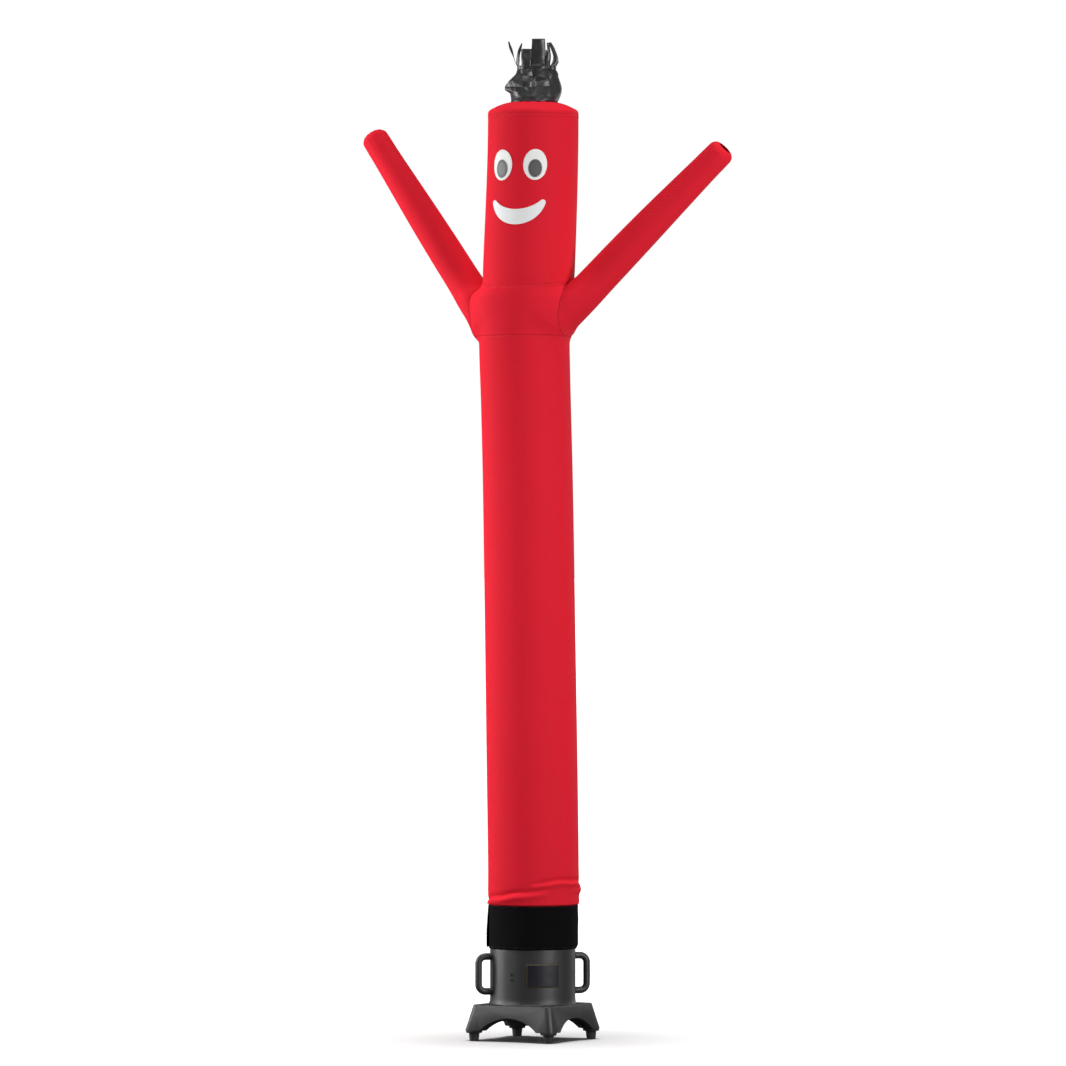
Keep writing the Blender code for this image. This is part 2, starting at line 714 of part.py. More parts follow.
def make_housing(group, parent, material):
    """The round duct: a fillet at its foot and a spigot inside the sleeve."""
    foot = PLATE_Z + GAP
    profile = [
        (SPIGOT_RADIUS - 0.002, DUCT_TOP),
        (SPIGOT_RADIUS, DUCT_TOP - 0.002),
        (SPIGOT_RADIUS, SPIGOT_Z + 0.002),
        (DUCT_RADIUS, SPIGOT_Z),
    ]
    for turn in even_steps(0.5 * math.pi, 0.0, FLARE_STEPS):
        radius = DUCT_RADIUS + FLARE_REACH * (1.0 - math.sin(turn))
        profile.append((radius, foot + FLARE_HEIGHT * (1.0 - math.cos(turn))))
    inner = DUCT_RADIUS - DUCT_WALL
    profile += [(inner, foot), (inner, DUCT_TOP)]
    return turned("blower_housing", profile, True, BLOWER_COLUMNS, group, parent, material)


def make_base(group, parent, cutters, material):
    """The square skirt with rounded corners, a round intake and an arch in each side."""
    bm = bmesh.new()
    bmesh.ops.create_cube(bm, size=2.0)
    for vert in bm.verts:
        top = vert.co.z > 0.0
        half = PLATE_HALF if top else RIM_HALF
        vert.co = (vert.co.x * half, vert.co.y * half, PLATE_Z if top else RIM_Z)
    upright = [e for e in bm.edges if abs(e.verts[0].co.z - e.verts[1].co.z) > PLATE_EDGE]
    bmesh.ops.bevel(bm, geom=upright, offset=CORNER_ROUND, segments=4, affect="EDGES", profile=0.5)
    rim = [e for e in bm.edges if min(v.co.z for v in e.verts) > PLATE_Z - 0.0001]
    bmesh.ops.bevel(bm, geom=rim, offset=PLATE_EDGE, segments=2, affect="EDGES", profile=0.5)
    item = add_object("blower_base", mesh_from(bm, "blower_base"), group, parent, material)
    add_cut(item, make_intake_cutter(cutters, parent))
    add_cut(item, make_cavity_cutter(cutters, parent))
    for side in range(4):
        add_cut(item, make_arch_cutter(side, cutters, parent))
    return item


def make_intake_cutter(group, parent):
    """The round bore through the base."""
    bm = bmesh.new()
    bmesh.ops.create_cone(
        bm,
        cap_ends=True,
        segments=BLOWER_COLUMNS,
        radius1=INTAKE_RADIUS,
        radius2=INTAKE_RADIUS,
        depth=2.0 * PLATE_Z,
        matrix=Matrix.Translation((0.0, 0.0, PLATE_Z)),
    )
    mesh = mesh_from(bm, "cut_intake", smooth=False)
    return as_cutter(add_object("cut_intake", mesh, group, parent))


def make_cavity_cutter(group, parent):
    """The square hollow under the plate, with its corners cut off."""
    bm = bmesh.new()
    bmesh.ops.create_cube(bm, size=2.0)
    for vert in bm.verts:
        z = CEILING_Z if vert.co.z > 0.0 else 0.0
        vert.co = (vert.co.x * CAVITY_HALF, vert.co.y * CAVITY_HALF, z)
    upright = [e for e in bm.edges if abs(e.verts[0].co.z - e.verts[1].co.z) > PLATE_EDGE]
    bmesh.ops.bevel(bm, geom=upright, offset=CAVITY_CORNER, segments=1, affect="EDGES")
    mesh = mesh_from(bm, "cut_cavity", smooth=False)
    return as_cutter(add_object("cut_cavity", mesh, group, parent))


def make_arch_cutter(side, group, parent):
    """A lying cone that cuts the arch of one side, wider outwards."""
    face = RIM_HALF - (RIM_HALF - PLATE_HALF) * (ARCH_CROWN_Z - RIM_Z) / (PLATE_Z - RIM_Z)
    inner = ARCH_RADIUS - ARCH_FLARE * (face - ARCH_INNER)
    outer = ARCH_RADIUS + ARCH_FLARE * (ARCH_OUTER - face)
    middle = Vector((0.5 * (ARCH_INNER + ARCH_OUTER), 0.0, ARCH_CROWN_Z - ARCH_RADIUS))
    lay = Matrix.Rotation(0.5 * math.pi, 4, "Y")
    turn = Matrix.Rotation(side * 0.5 * math.pi, 4, "Z")
    bm = bmesh.new()
    bmesh.ops.create_cone(
        bm,
        cap_ends=True,
        segments=ARCH_SEGMENTS,
        radius1=inner,
        radius2=outer,
        depth=ARCH_OUTER - ARCH_INNER,
        matrix=turn @ Matrix.Translation(middle) @ lay,
    )
    name = "cut_arch_" + str(side)
    return as_cutter(add_object(name, mesh_from(bm, name, smooth=False), group, parent))


def handle_path():
    """The middle line of a handle in its own plane: distance from the axis, and height."""
    start = DUCT_RADIUS + GAP
    bend = HANDLE_REACH - HANDLE_BEND
    path = [(start, HANDLE_HIGH)]
    bends = ((HANDLE_HIGH - HANDLE_BEND, 0.5 * math.pi), (HANDLE_LOW + HANDLE_BEND, 0.0))
    for middle_z, first in bends:
        for turn in even_steps(first, first - 0.5 * math.pi, HANDLE_BEND_STEPS):
            reach = bend + HANDLE_BEND * math.cos(turn)
            path.append((reach, middle_z + HANDLE_BEND * math.sin(turn)))
    path.append((start, HANDLE_LOW))
    return path


def make_handle(name, angle, group, parent, material):
    """One D-shaped carrying handle, standing out from the duct."""
    curve = bpy.data.curves.new(name, "CURVE")
    curve.dimensions = "3D"
    curve.bevel_depth = HANDLE_BAR
    curve.bevel_resolution = 2
    curve.use_fill_caps = True
    path = handle_path()
    spline = curve.splines.new("POLY")
    spline.points.add(len(path) - 1)
    for point, (reach, z) in zip(spline.points, path):
        point.co = (reach, 0.0, z, 1.0)
        point.radius = 1.0
    item = add_object(name, curve, group, parent, material)
    item.rotation_euler = (0.0, 0.0, angle)
    return item


def make_foot(name, x, y, group, parent, material):
    """A rubber foot: a wide collar under the leg and a tapered peg with a flat end."""
    profile = [(0.0, RIM_Z - GAP), *FOOT_OUTLINE, (0.0, 0.0)]
    item = turned(name, profile, False, SMALL_COLUMNS, group, parent, material)
    item.location = (x, y, 0.0)
    return item


def duct_point(arc_angle, z, out):
    """A point on the duct, by its angle from the middle of the label."""
    radius = DUCT_RADIUS + out
    angle = LABEL_ANGLE + arc_angle
    return Vector((radius * math.cos(angle), radius * math.sin(angle), z))


def make_label(group, parent, material):
    """The bare plate on the duct, with rounded corners."""
    corner_turn = LABEL_CORNER / DUCT_RADIUS
    straight = LABEL_HALF_TURN - corner_turn
    bend = straight + 0.7 * corner_turn
    turns = [-LABEL_HALF_TURN, -bend, *even_steps(-straight, straight, LABEL_SPANS)]
    turns += [bend, LABEL_HALF_TURN]
    spans = []
    for turn in turns:
        into = max(0.0, abs(turn) - straight) / corner_turn
        cut = LABEL_CORNER * (1.0 - math.sqrt(max(0.0, 1.0 - into**2)))
        half = LABEL_HALF_HEIGHT - cut
        spans.append((turn, LABEL_Z - half, LABEL_Z + half))
    make_patch("label_plate", spans, duct_point, GAP, LABEL_SHEET, group, parent, material)


def stand_on_duct(item, angle, z):
    """Turn a piece made along Z so that it stands out from the duct."""
    reach = DUCT_RADIUS + GAP
    item.location = (reach * math.cos(angle), reach * math.sin(angle), z)
    item.rotation_euler = (0.0, 0.5 * math.pi, angle)


def make_screw(name, z, group, parent, material):
    """A low, rounded screw head."""
    profile = [
        (0.0, SCREW_HEIGHT),
        (0.6 * SCREW_RADIUS, 0.9 * SCREW_HEIGHT),
        (SCREW_RADIUS, 0.4 * SCREW_HEIGHT),
        (SCREW_RADIUS, 0.0),
        (0.0, 0.0),
    ]
    item = turned(name, profile, False, SMALL_COLUMNS, group, parent, material)
    stand_on_duct(item, SCREW_ANGLE, z)


def make_gland(group, parent, material):
    """The blanked cord gland on the side away from the label."""
    profile = [(0.0, GLAND_OUTLINE[0][1]), *GLAND_OUTLINE, (0.0, 0.0)]
    item = turned("cable_gland", profile, False, SMALL_COLUMNS, group, parent, material)
    stand_on_duct(item, GLAND_ANGLE, GLAND_Z)


def make_blower(group, cutters, materials):
    """Everything that the cloth stands on."""
    frame = add_empty("blower", group, (AXIS_X, 0.0, 0.0), BLOWER_TURN)
    shell = materials["shell"]
    rubber = materials["rubber"]
    make_housing(group, frame, shell)
    make_base(group, frame, cutters, shell)
    make_handle("handle_right", math.radians(45.0), group, frame, shell)
    make_handle("handle_left", math.radians(225.0), group, frame, shell)
    make_foot("foot_front", FOOT_OFFSET, -FOOT_OFFSET, group, frame, rubber)
    make_foot("foot_right", FOOT_OFFSET, FOOT_OFFSET, group, frame, rubber)
    make_foot("foot_back", -FOOT_OFFSET, FOOT_OFFSET, group, frame, rubber)
    make_foot("foot_left", -FOOT_OFFSET, -FOOT_OFFSET, group, frame, rubber)
    make_label(group, frame, materials["label"])
    for name, z in SCREW_HEIGHTS:
        make_screw(name, z, group, frame, materials["steel"])
    make_gland(group, frame, rubber)


def make_dancer(group, cutters, materials):
    """The cloth figure."""
    frame = add_empty("dancer", group, (AXIS_X, 0.0, 0.0))
    red = materials["red"]
    black = materials["black"]
    make_body_tube(group, frame, red)
    bores = [make_bore(arm, cutters, frame) for arm in ARMS]
    make_yoke(group, frame, red, bores)
    root_cutter = make_root_cutter(cutters, frame)
    for arm in ARMS:
        make_arm(arm, group, frame, red, root_cutter)
    make_head_tube(group, frame, red)
    make_head_top(group, frame, red)
    make_face(group, frame, materials["white"], materials["grey"])
    make_cuff(group, frame, black)
    make_strips(group, frame, black)
    make_collar(group, frame, materials["collar"])


def main():
    """Build the whole model."""
    clear_scene()
    group = new_collection("air_dancer")
    cutters = new_collection("cutters")
    materials = {
        "red": new_material("red nylon", (0.60, 0.020, 0.035), 0.55),
        "black": new_material("black nylon", (0.030, 0.030, 0.032), 0.45),
        "white": new_material("white nylon", (0.83, 0.83, 0.82), 0.60),
        "grey": new_material("grey nylon", (0.12, 0.12, 0.12), 0.60),
        "collar": new_material("black hook-and-loop", (0.006, 0.006, 0.008), 0.95),
        "shell": new_material("moulded plastic", (0.075, 0.075, 0.075), 0.50),
        "rubber": new_material("black rubber", (0.020, 0.020, 0.020), 0.80),
        "label": new_material("dark plate", (0.012, 0.012, 0.022), 0.35),
        "steel": new_material("dark steel", (0.050, 0.050, 0.050), 0.40, 1.0),
    }
    make_blower(group, cutters, materials)
    make_dancer(group, cutters, materials)


main()
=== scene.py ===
"""Inflatable air dancer on its blower: cloth, fittings, finishes and studio.

The sizes are in metres. The face looks along -Y, the arms reach along +X and -X, and +Z is up.
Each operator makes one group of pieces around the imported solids.
"""

import math
from contextlib import contextmanager

import bmesh
import bpy
import numpy as np
from bpy.props import FloatProperty, FloatVectorProperty, IntProperty, PointerProperty
from mathutils import Matrix, Vector


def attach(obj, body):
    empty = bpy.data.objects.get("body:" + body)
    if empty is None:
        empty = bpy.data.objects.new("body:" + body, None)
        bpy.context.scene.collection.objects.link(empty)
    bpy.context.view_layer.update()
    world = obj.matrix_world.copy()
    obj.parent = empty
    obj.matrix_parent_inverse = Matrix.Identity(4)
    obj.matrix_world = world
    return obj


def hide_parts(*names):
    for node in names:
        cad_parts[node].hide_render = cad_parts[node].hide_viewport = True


bl_info = {
    "name": "Inflatable Air Dancer",
    "version": (1, 0, 0),
    "blender": (4, 5, 0),
    "location": "3D View > Sidebar > Air Dancer",
    "description": "Cloth, fittings, finishes and studio of an air dancer on its blower",
    "category": "Object",
}

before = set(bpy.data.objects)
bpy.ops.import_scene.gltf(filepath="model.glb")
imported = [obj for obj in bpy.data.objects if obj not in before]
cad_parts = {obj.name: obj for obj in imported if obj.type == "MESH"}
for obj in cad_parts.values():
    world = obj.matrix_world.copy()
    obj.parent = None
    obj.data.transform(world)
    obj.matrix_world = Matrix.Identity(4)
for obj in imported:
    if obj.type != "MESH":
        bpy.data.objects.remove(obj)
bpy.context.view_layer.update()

# ------ the figure's own sizes

AXIS = np.array((-0.03, 0.0, 0.0))  # the upright axis of the duct and the sleeve
GAP = 0.0004  # between pieces that touch
SLEEVE_Z = 0.35
SHOULDER_SEAM_Z = 2.5
NECK_SEAM_Z = 2.676
NECK_SEAM_RISE = 0.013
HEAD_SEAM_Z = 3.285
HEAD_RADIUS = 0.1612
HEAD_LEAN = 0.002
HEAD_AXIS = np.array((AXIS[0] + HEAD_LEAN, 0.0, 0.0))

# Height, sideways lean, radius, and extra reach over the arms.
TUBE = (
    (0.34, 0.0, 0.1522, 0.0),
    (0.479, 0.0, 0.1522, 0.0),
    (0.4815, 0.0008, 0.154, 0.0),
    (0.4824, 0.0024, 0.1592, 0.0),
    (0.486, 0.0026, 0.162, 0.0),
    (0.5, 0.0026, 0.1624, 0.0),
    (0.64, 0.0018, 0.1614, 0.0),
    (0.85, -0.0006, 0.1614, 0.0),
    (1.42, -0.0086, 0.161, 0.0),
    (1.985, -0.0182, 0.16, 0.0),
    (2.27, -0.0258, 0.1602, 0.0),
    (2.45, -0.0312, 0.1612, 0.0),
    (2.5, -0.0321, 0.1612, 0.0005),
    (2.56, -0.0324, 0.163, 0.008),
    (2.6, -0.0324, 0.1642, 0.014),
    (2.635, -0.0314, 0.1652, 0.015),
    (2.66, -0.0274, 0.1642, 0.008),
    (2.68, -0.0209, 0.1611, 0.001),
    (2.7, -0.0164, 0.1622, 0.0),
    (2.74, -0.0144, 0.1634, 0.0),
    (3.285, 0.002, 0.1612, 0.0),
    (3.3, 0.002, 0.1612, 0.0),
)

HEM_TOP = 0.4815  # where the cloth comes out over the collar
# The swollen side: angle, height, reach, half of its turn, and half height.
HEM_BULGE = (math.radians(14.0), 0.532, 0.006, 0.42, 0.011)
HEM_PLEATS = (31.0, 0.0011, 0.005, 0.01)  # how many, depth, height over the hem, and fading
SLACK = 0.00045  # how uneven the blown-up cloth is
# Folds of the gathered hem: angle and height of one end, then of the other, how far the
# middle rises, the depth, and the half width.
HEM_FOLDS = (
    (-172.0, 0.494, -50.0, 0.541, 0.004, 0.0068, 0.0078),
    (-74.0, 0.558, 25.0, 0.556, 0.018, 0.0072, 0.0066),
    (30.0, 0.52, 150.0, 0.548, 0.006, 0.0055, 0.0085),
)

# Radius and height of the head's top panel, from its seam to its vent.
TOP_PANEL = (
    (0.1612, 3.2854),
    (0.1608, 3.293),
    (0.158, 3.2998),
    (0.142, 3.31),
    (0.115, 3.3222),
    (0.092, 3.3288),
    (0.07, 3.332),
)

# Angle of the root round the tube, its height, level reach and rise to the end, and bow.
ARMS = {
    "arm_right": (0.0, 2.6, 0.553, 0.54, 0.003),
    "arm_left": (164.0, 2.589, 0.478, 0.63, -0.001),
}
ARM_TAPER = (
    (-0.16, 0.06),
    (0.0, 0.0618),
    (0.1, 0.0628),
    (0.28, 0.0616),
    (0.5, 0.0582),
    (0.7, 0.0538),
    (0.88, 0.05),
    (1.0, 0.0478),
)
ARM_END = ((0.009, 0.0455), (0.017, 0.04), (0.022, 0.032), (0.024, 0.0255))
ROOT_WIDEN = 0.36  # how much wider across the tube an arm is at its root
ROOT_WIDEN_LENGTH = 0.17
ROOT_FLOW = (0.024, 0.1)  # how far arm and tube flow together, over the arm and beside it
ARM_COLUMNS = 84
SEWN_ROWS = (0.0026, 0.0084)  # how far below a seam its two rows of stitches lie
ARM_SEWN_ROWS = (0.0028, 0.0086)  # how far out from the shoulder an arm's two rows lie
ARM_ROOT = 0.145  # from the seam to where an arm's rows stand square to it
ARM_PLEATS = (13.0, 0.0021)  # how many round the drawn-in end, and how deep
ARM_HEM = 0.036  # from an arm's open end to the sewing of its hem
MOUTH_CLEAR = 0.004  # how far the shoulder's cloth reaches in past the arm's root
# Distances of the close rows under a felled seam.
ROWS_UNDER_SEAM = (0.034, 0.028, 0.023, 0.019, 0.016, 0.0138, 0.0122, 0.0112, 0.0104)
ROWS_UNDER_SEAM += (0.0096, 0.0082, 0.0065, 0.0048, 0.0032, 0.002, 0.0011, 0.0005, 0.0)
THREAD_LIFT = 0.0002  # how far the middle of a stitch stands over the cloth

EYE_TURN = math.radians(22.4)
EYE = (3.102, 0.0422, 0.0545)  # height, half width, half height
PUPIL = (3.089, 0.024, 0.032)
SMILE_LOW = (2.891, 0.1095)  # height of the lowest point, and radius
SMILE_HIGH = (2.945, 0.1362)
SMILE_TIP = 0.0105  # radius of the rounded tips
OVAL_COLUMNS = 72
FACE_HEM = 0.0022  # from an oval's edge to its stitches
FACE_DROP = 0.0002  # how far the edges of the face's patches are pressed down
FACE_STITCH = 0.0024

HAIR_TURN = math.radians(19.0)
# Height, half width, half depth and sideways shift of the cuff.
CUFF = (
    (3.3312, 0.0825, 0.0815, 0.003),
    (3.342, 0.085, 0.082, 0.006),
    (3.362, 0.091, 0.079, 0.007),
    (3.382, 0.0945, 0.076, 0.006),
    (3.41, 0.09, 0.07, 0.008),
    (3.43, 0.081, 0.06, 0.011),
    (3.446, 0.068, 0.05, 0.009),
)
CUFF_CRUMPLE = 0.085  # the share by which the cuff's top is out of round
# The cuff's corner: angle, height, reach, half of its turn, and how far it goes up and down.
CUFF_SPIKE = (math.radians(188.0), 3.379, 0.019, 0.62, 0.054, 0.016)
CUFF_FOLD_UNIT = 0.0016
# How deep the cuff is pressed in, in these units: round the cuff, and one row for each height.
CUFF_FOLD_TURNS = (180, 212, 240, 260, 272, 298, 330, 360, 400, 440, 490, 540)
CUFF_FOLD_Z = (3.336, 3.352, 3.384, 3.405, 3.425, 3.446)
CUFF_FOLDS = (
    (0, 0, 0, 0, 0, 0, 0, 0, 0, 0, 0, 0),
    (1, 4, 2, 0, 1, 4, 1, 0, 3, 1, 3, 1),
    (0, 9, 8, 1, 6, 8, 4, 0, 6, 2, 6, 0),
    (2, 1, 3, 9, 11, 4, 9, 2, 1, 7, 2, 2),
    (4, 2, 5, 12, 5, 3, 11, 5, 6, 1, 6, 4),
    (0, 0, 0, 3, 0, 0, 3, 0, 0, 0, 0, 0),
)
STRIP_ROOT_Z = 3.458  # top of the ring that the strips grow from
STRIP_THICKNESS = 0.0012
# First column of 24 and columns wide, top, sideways and forward reach of the tip, sideways
# and forward bow, tip width to root width, extra width of the middle, and twist in degrees.
STRIPS = (
    (12, 1, 3.546, -0.03, 0.004, -0.002, 0.002, 0.9, 0.1, -40.0),
    (13, 1, 3.54, 0.01, 0.006, -0.007, 0.003, 0.35, 0.5, 25.0),
    (15, 2, 3.519, 0.0, -0.002, 0.0, 0.004, 1.12, 0.0, 0.0),
    (17, 3, 3.554, 0.0, 0.006, 0.0, -0.006, 0.92, 0.0, 0.0),
    (20, 1, 3.541, 0.004, -0.004, 0.004, -0.004, 0.7, 0.1, 0.0),
    (21, 2, 3.543, -0.005, -0.004, 0.018, -0.002, 0.6, 0.5, 0.0),
    (23, 1, 3.484, 0.01, 0.004, 0.004, 0.002, 0.7, 0.0, 0.0),
    (2, 2, 3.52, -0.014, -0.006, -0.004, -0.004, 0.9, 0.0, 0.0),
    (5, 3, 3.512, -0.006, 0.004, 0.004, -0.006, 0.9, 0.0, 0.0),
    (9, 2, 3.48, 0.026, -0.006, 0.006, -0.006, 0.9, 0.0, 0.0),
)
HAIR_COLUMNS = 24
COLUMN_FACES = 4  # faces across one of the hair's columns
CUFF_COLUMNS = 216

# Height, inner radius, slack and share of the lift of the collar's loose end.
COLLAR = (
    (0.3265, 0.1532, 0.0, 0.75),
    (0.342, 0.1566, 0.0032, 1.0),
    (0.38, 0.1566, 0.0032, 1.0),
    (0.43, 0.1566, 0.0032, 0.6),
    (0.479, 0.156, 0.003, 0.05),
)
COLLAR_TURNS = (140.0, 565.0)  # where the band starts and ends, in degrees
COLLAR_CLIMB = (450.0, 490.0)  # where it climbs over its own start
COLLAR_COLUMN = 2.5  # degrees of the band in one of its faces
COLLAR_LAYER = 0.0026
COLLAR_FLAP = 0.0075  # how far the loose end stands off
COLLAR_FLAP_TURN = 35.0  # how much of the band bends off, in degrees
COLLAR_LOW, COLLAR_TOP = COLLAR[0][0], COLLAR[-1][0]

BLOWER_TURN = math.radians(-11.0)
PLATE_Z, PLATE_HALF = 0.1282, 0.1597  # height and half width of the base's top
RIM_Z, RIM_HALF = 0.037, 0.1811  # and of its lower rim
CORNER_ROUND = 0.022
PLATE_EDGE = 0.004
INTAKE_RADIUS = 0.132
CAVITY = (0.144, 0.03, 0.108)  # half width, corner and ceiling of the hollow
BASE_EDGE = 0.0011  # rounding of the base's cut edges
ARCH = (0.164, 0.0827, 0.21)  # radius, crown and widening
ARCH_SPAN = (0.1, 0.22)  # from the middle, inner and outer end of the cut
DUCT_RADIUS = 0.1517
DUCT_WALL = 0.006
FLARE = (0.0068, 0.024)  # reach and rise of the duct's flared foot
SPIGOT = (0.1495, 0.334, 0.465)  # radius, foot and top
HANDLE = (0.0122, 0.1987, 0.174, 0.2978, 0.025)  # bar, reach, low, high and bend
HANDLE_FOOT = ((GAP, 1.2), (0.003, 1.06), (0.007, 1.0))  # distance from the duct, and swelling
HANDLE_COLUMNS = 28
FOOT_OFFSET = 0.152
CORNERS = ((1, -1), (1, 1), (-1, 1), (-1, -1))  # of a square, in order round it
# Angle on the duct, half of its turn, middle height, half height, corner and thickness.
LABEL = (math.radians(-45.0), math.radians(23.8), 0.2346, 0.0415, 0.006, 0.0012)
SCREWS = (math.radians(-89.2), (0.2387, 0.2195), 0.0042, 0.0024)  # angle, heights, radius, rise
GLAND = (math.radians(135.0), 0.195)  # angle and height

# ------ shapes in numbers


def curve_through(keys, values):
    """A smooth curve through the given values that never overshoots them."""
    keys = np.asarray(keys, float)
    values = np.asarray(values, float)
    step = np.diff(keys)
    slope = np.diff(values) / step
    tangent = np.zeros(len(keys))
    tangent[0], tangent[-1] = slope[0], slope[-1]
    rising = slope[:-1] * slope[1:] > 0.0
    near, far = 2.0 * step[1:] + step[:-1], step[1:] + 2.0 * step[:-1]
    safe_low = np.where(rising, slope[:-1], 1.0)
    safe_high = np.where(rising, slope[1:], 1.0)
    even = (near + far) / (near / safe_low + far / safe_high)
    tangent[1:-1] = np.where(rising, even, 0.0)

    def curve(x):
        x = np.clip(x, keys[0], keys[-1])
        i = np.clip(np.searchsorted(keys, x) - 1, 0, len(step) - 1)
        t = (x - keys[i]) / step[i]
        start = values[i] * (1.0 + 2.0 * t) + tangent[i] * step[i] * t
        end = values[i + 1] * (3.0 - 2.0 * t) - tangent[i + 1] * step[i] * (1.0 - t)
        return start * (1.0 - t) ** 2 + end * t**2

    return curve


def smooth_step(value):
    """From 0 to 1 with soft ends."""
    value = np.clip(value, 0.0, 1.0)
    return value * value * (3.0 - 2.0 * value)


def around(middle, radius, turn, z):
    """Points at a radius and an angle round an upright line at x = middle."""
    middle, radius, turn, z = np.broadcast_arrays(middle, radius, turn, z)
    return np.stack((middle + radius * np.cos(turn), radius * np.sin(turn), z), axis=-1)


def unit(vectors):
    """Vectors made one metre long."""
    return vectors / np.linalg.norm(vectors, axis=-1, keepdims=True)


def ring_turns(count):
    """Angles round a ring, in radians."""
    return np.linspace(0.0, 2.0 * math.pi, count, endpoint=False)


def apart(first, second):
    """The signed angle from one direction to another, in radians."""
    return np.arctan2(np.sin(first - second), np.cos(first - second))


TUBE_HEIGHTS, TUBE_LEANS, TUBE_RADII, TUBE_SHOULDERS = zip(*TUBE)
tube_lean = curve_through(TUBE_HEIGHTS, TUBE_LEANS)
tube_radius = curve_through(TUBE_HEIGHTS, TUBE_RADII)
tube_shoulder = curve_through(TUBE_HEIGHTS, TUBE_SHOULDERS)


def neck_height(turn):
    """Height of the neck seam round the tube."""
    return NECK_SEAM_Z + NECK_SEAM_RISE * np.cos(turn) ** 2


def skin_radius(turn, z):
    """The bare tube's radius at an angle and a height."""
    return tube_radius(z) + tube_shoulder(z) * np.cos(turn) ** 2


def skin(turn, z, out=0.0):
    """Points on the tube, moved out by a distance."""
    return around(AXIS[0] + tube_lean(z), skin_radius(turn, z) + out, turn, z)


def past_tube(points):
    """The angle of points round the tube, and how far they lie outside its bare skin."""
    x = points[..., 0] - AXIS[0] - tube_lean(points[..., 2])
    turn = np.arctan2(points[..., 1], x)
    return turn, np.hypot(x, points[..., 1]) - skin_radius(turn, points[..., 2])


def hem_folds(turn, z):
    """The rolls and troughs of the cloth gathered over the collar."""
    degrees = np.degrees(turn)
    relief = np.zeros(np.broadcast(turn, z).shape)
    for start, low, stop, high, rise, depth, width in HEM_FOLDS:
        share = (degrees - start) % 360.0 / (stop - start)
        inside = share < 1.0
        share = np.clip(share, 0.0, 1.0)
        centre = low + (high - low) * share + rise * 4.0 * share * (1.0 - share)
        centre = centre + 0.0012 * np.sin(9.0 * turn + start)
        ends = np.sin(math.pi * share) ** 0.5
        off = (z - centre) / width
        trough = np.exp(-np.abs(off) ** 1.5)
        roll = np.exp(-(((off + 2.3) / 1.7) ** 2))
        relief += np.where(inside, depth * ends * (roll - trough), 0.0)
    middle, height, reach, half_turn, half_height = HEM_BULGE
    across, up = apart(turn, middle) / half_turn, (z - height) / half_height
    return relief + reach * np.exp(-(across**2) - up**2)


def hem_pleats(turn, z):
    """Small upright gathers where the cloth is strapped in, fading upwards."""
    count, depth, up, fading = HEM_PLEATS
    wave = np.sin(count * turn + 1.6 * np.sin(5.0 * turn)) * np.sin(2.0 * turn + 0.8)
    return depth * wave * np.exp(-np.abs(z - HEM_TOP - up) / fading)


def slack(turn, z):
    """The faint unevenness of blown-up cloth."""
    wave = np.sin(3.0 * turn + 2.1 * z) + 0.6 * np.sin(5.0 * turn - 3.3 * z + 1.0)
    wave = wave + 0.5 * np.sin(2.0 * turn + 7.0 * z + 0.4)
    return SLACK * wave


def gathers(turn, off, count, depth, reach):
    """Puckers along a seam, all inwards, that fade with the distance from it."""
    wave = np.sin(count * turn + 1.9 * np.sin(3.0 * turn) + 1.1 * np.sin(7.0 * turn))
    wave = 0.5 + 0.5 * wave * (0.6 + 0.4 * np.sin(4.0 * turn + 1.3))
    return -depth * wave * np.exp(-np.abs(off) / reach)


def seam_band(off, width, proud):
    """The doubled cloth of a felled seam, from the seam at 0 to its width."""
    rise = smooth_step(off / 0.001)
    fall = smooth_step((off - width) / 0.0014)
    return proud * rise * (1.0 - fall)


def heights_to_seam(low, high, step):
    """Rows up a panel, with the close rows that a felled seam needs under its top."""
    close = high - np.array(ROWS_UNDER_SEAM)
    count = max(2, int(round((close[0] - low) / step)))
    return np.concatenate((np.linspace(low, close[0], count, endpoint=False), close))


# ------ pieces


def link_object(name, data):
    """A new object in the scene."""
    item = bpy.data.objects.new(name, data)
    bpy.context.scene.collection.objects.link(item)
    return item


def shade(mesh, sharp=40.0):
    """Smooth shading, broken at edges sharper than the given angle in degrees."""
    mesh.shade_smooth()
    mesh.set_sharp_from_angle(angle=math.radians(sharp))


def grid_faces(rows, columns, wrap, keep=None):
    """Corner numbers of a grid's faces; keep masks the cells that are there."""
    across = columns if wrap else columns - 1
    row, column = np.meshgrid(np.arange(rows - 1), np.arange(across), indexing="ij")
    after = (column + 1) % columns
    low, high = row * columns, (row + 1) * columns
    faces = np.stack((low + column, low + after, high + after, high + column), axis=-1)
    return faces[keep] if keep is not None else faces.reshape(-1, 4)


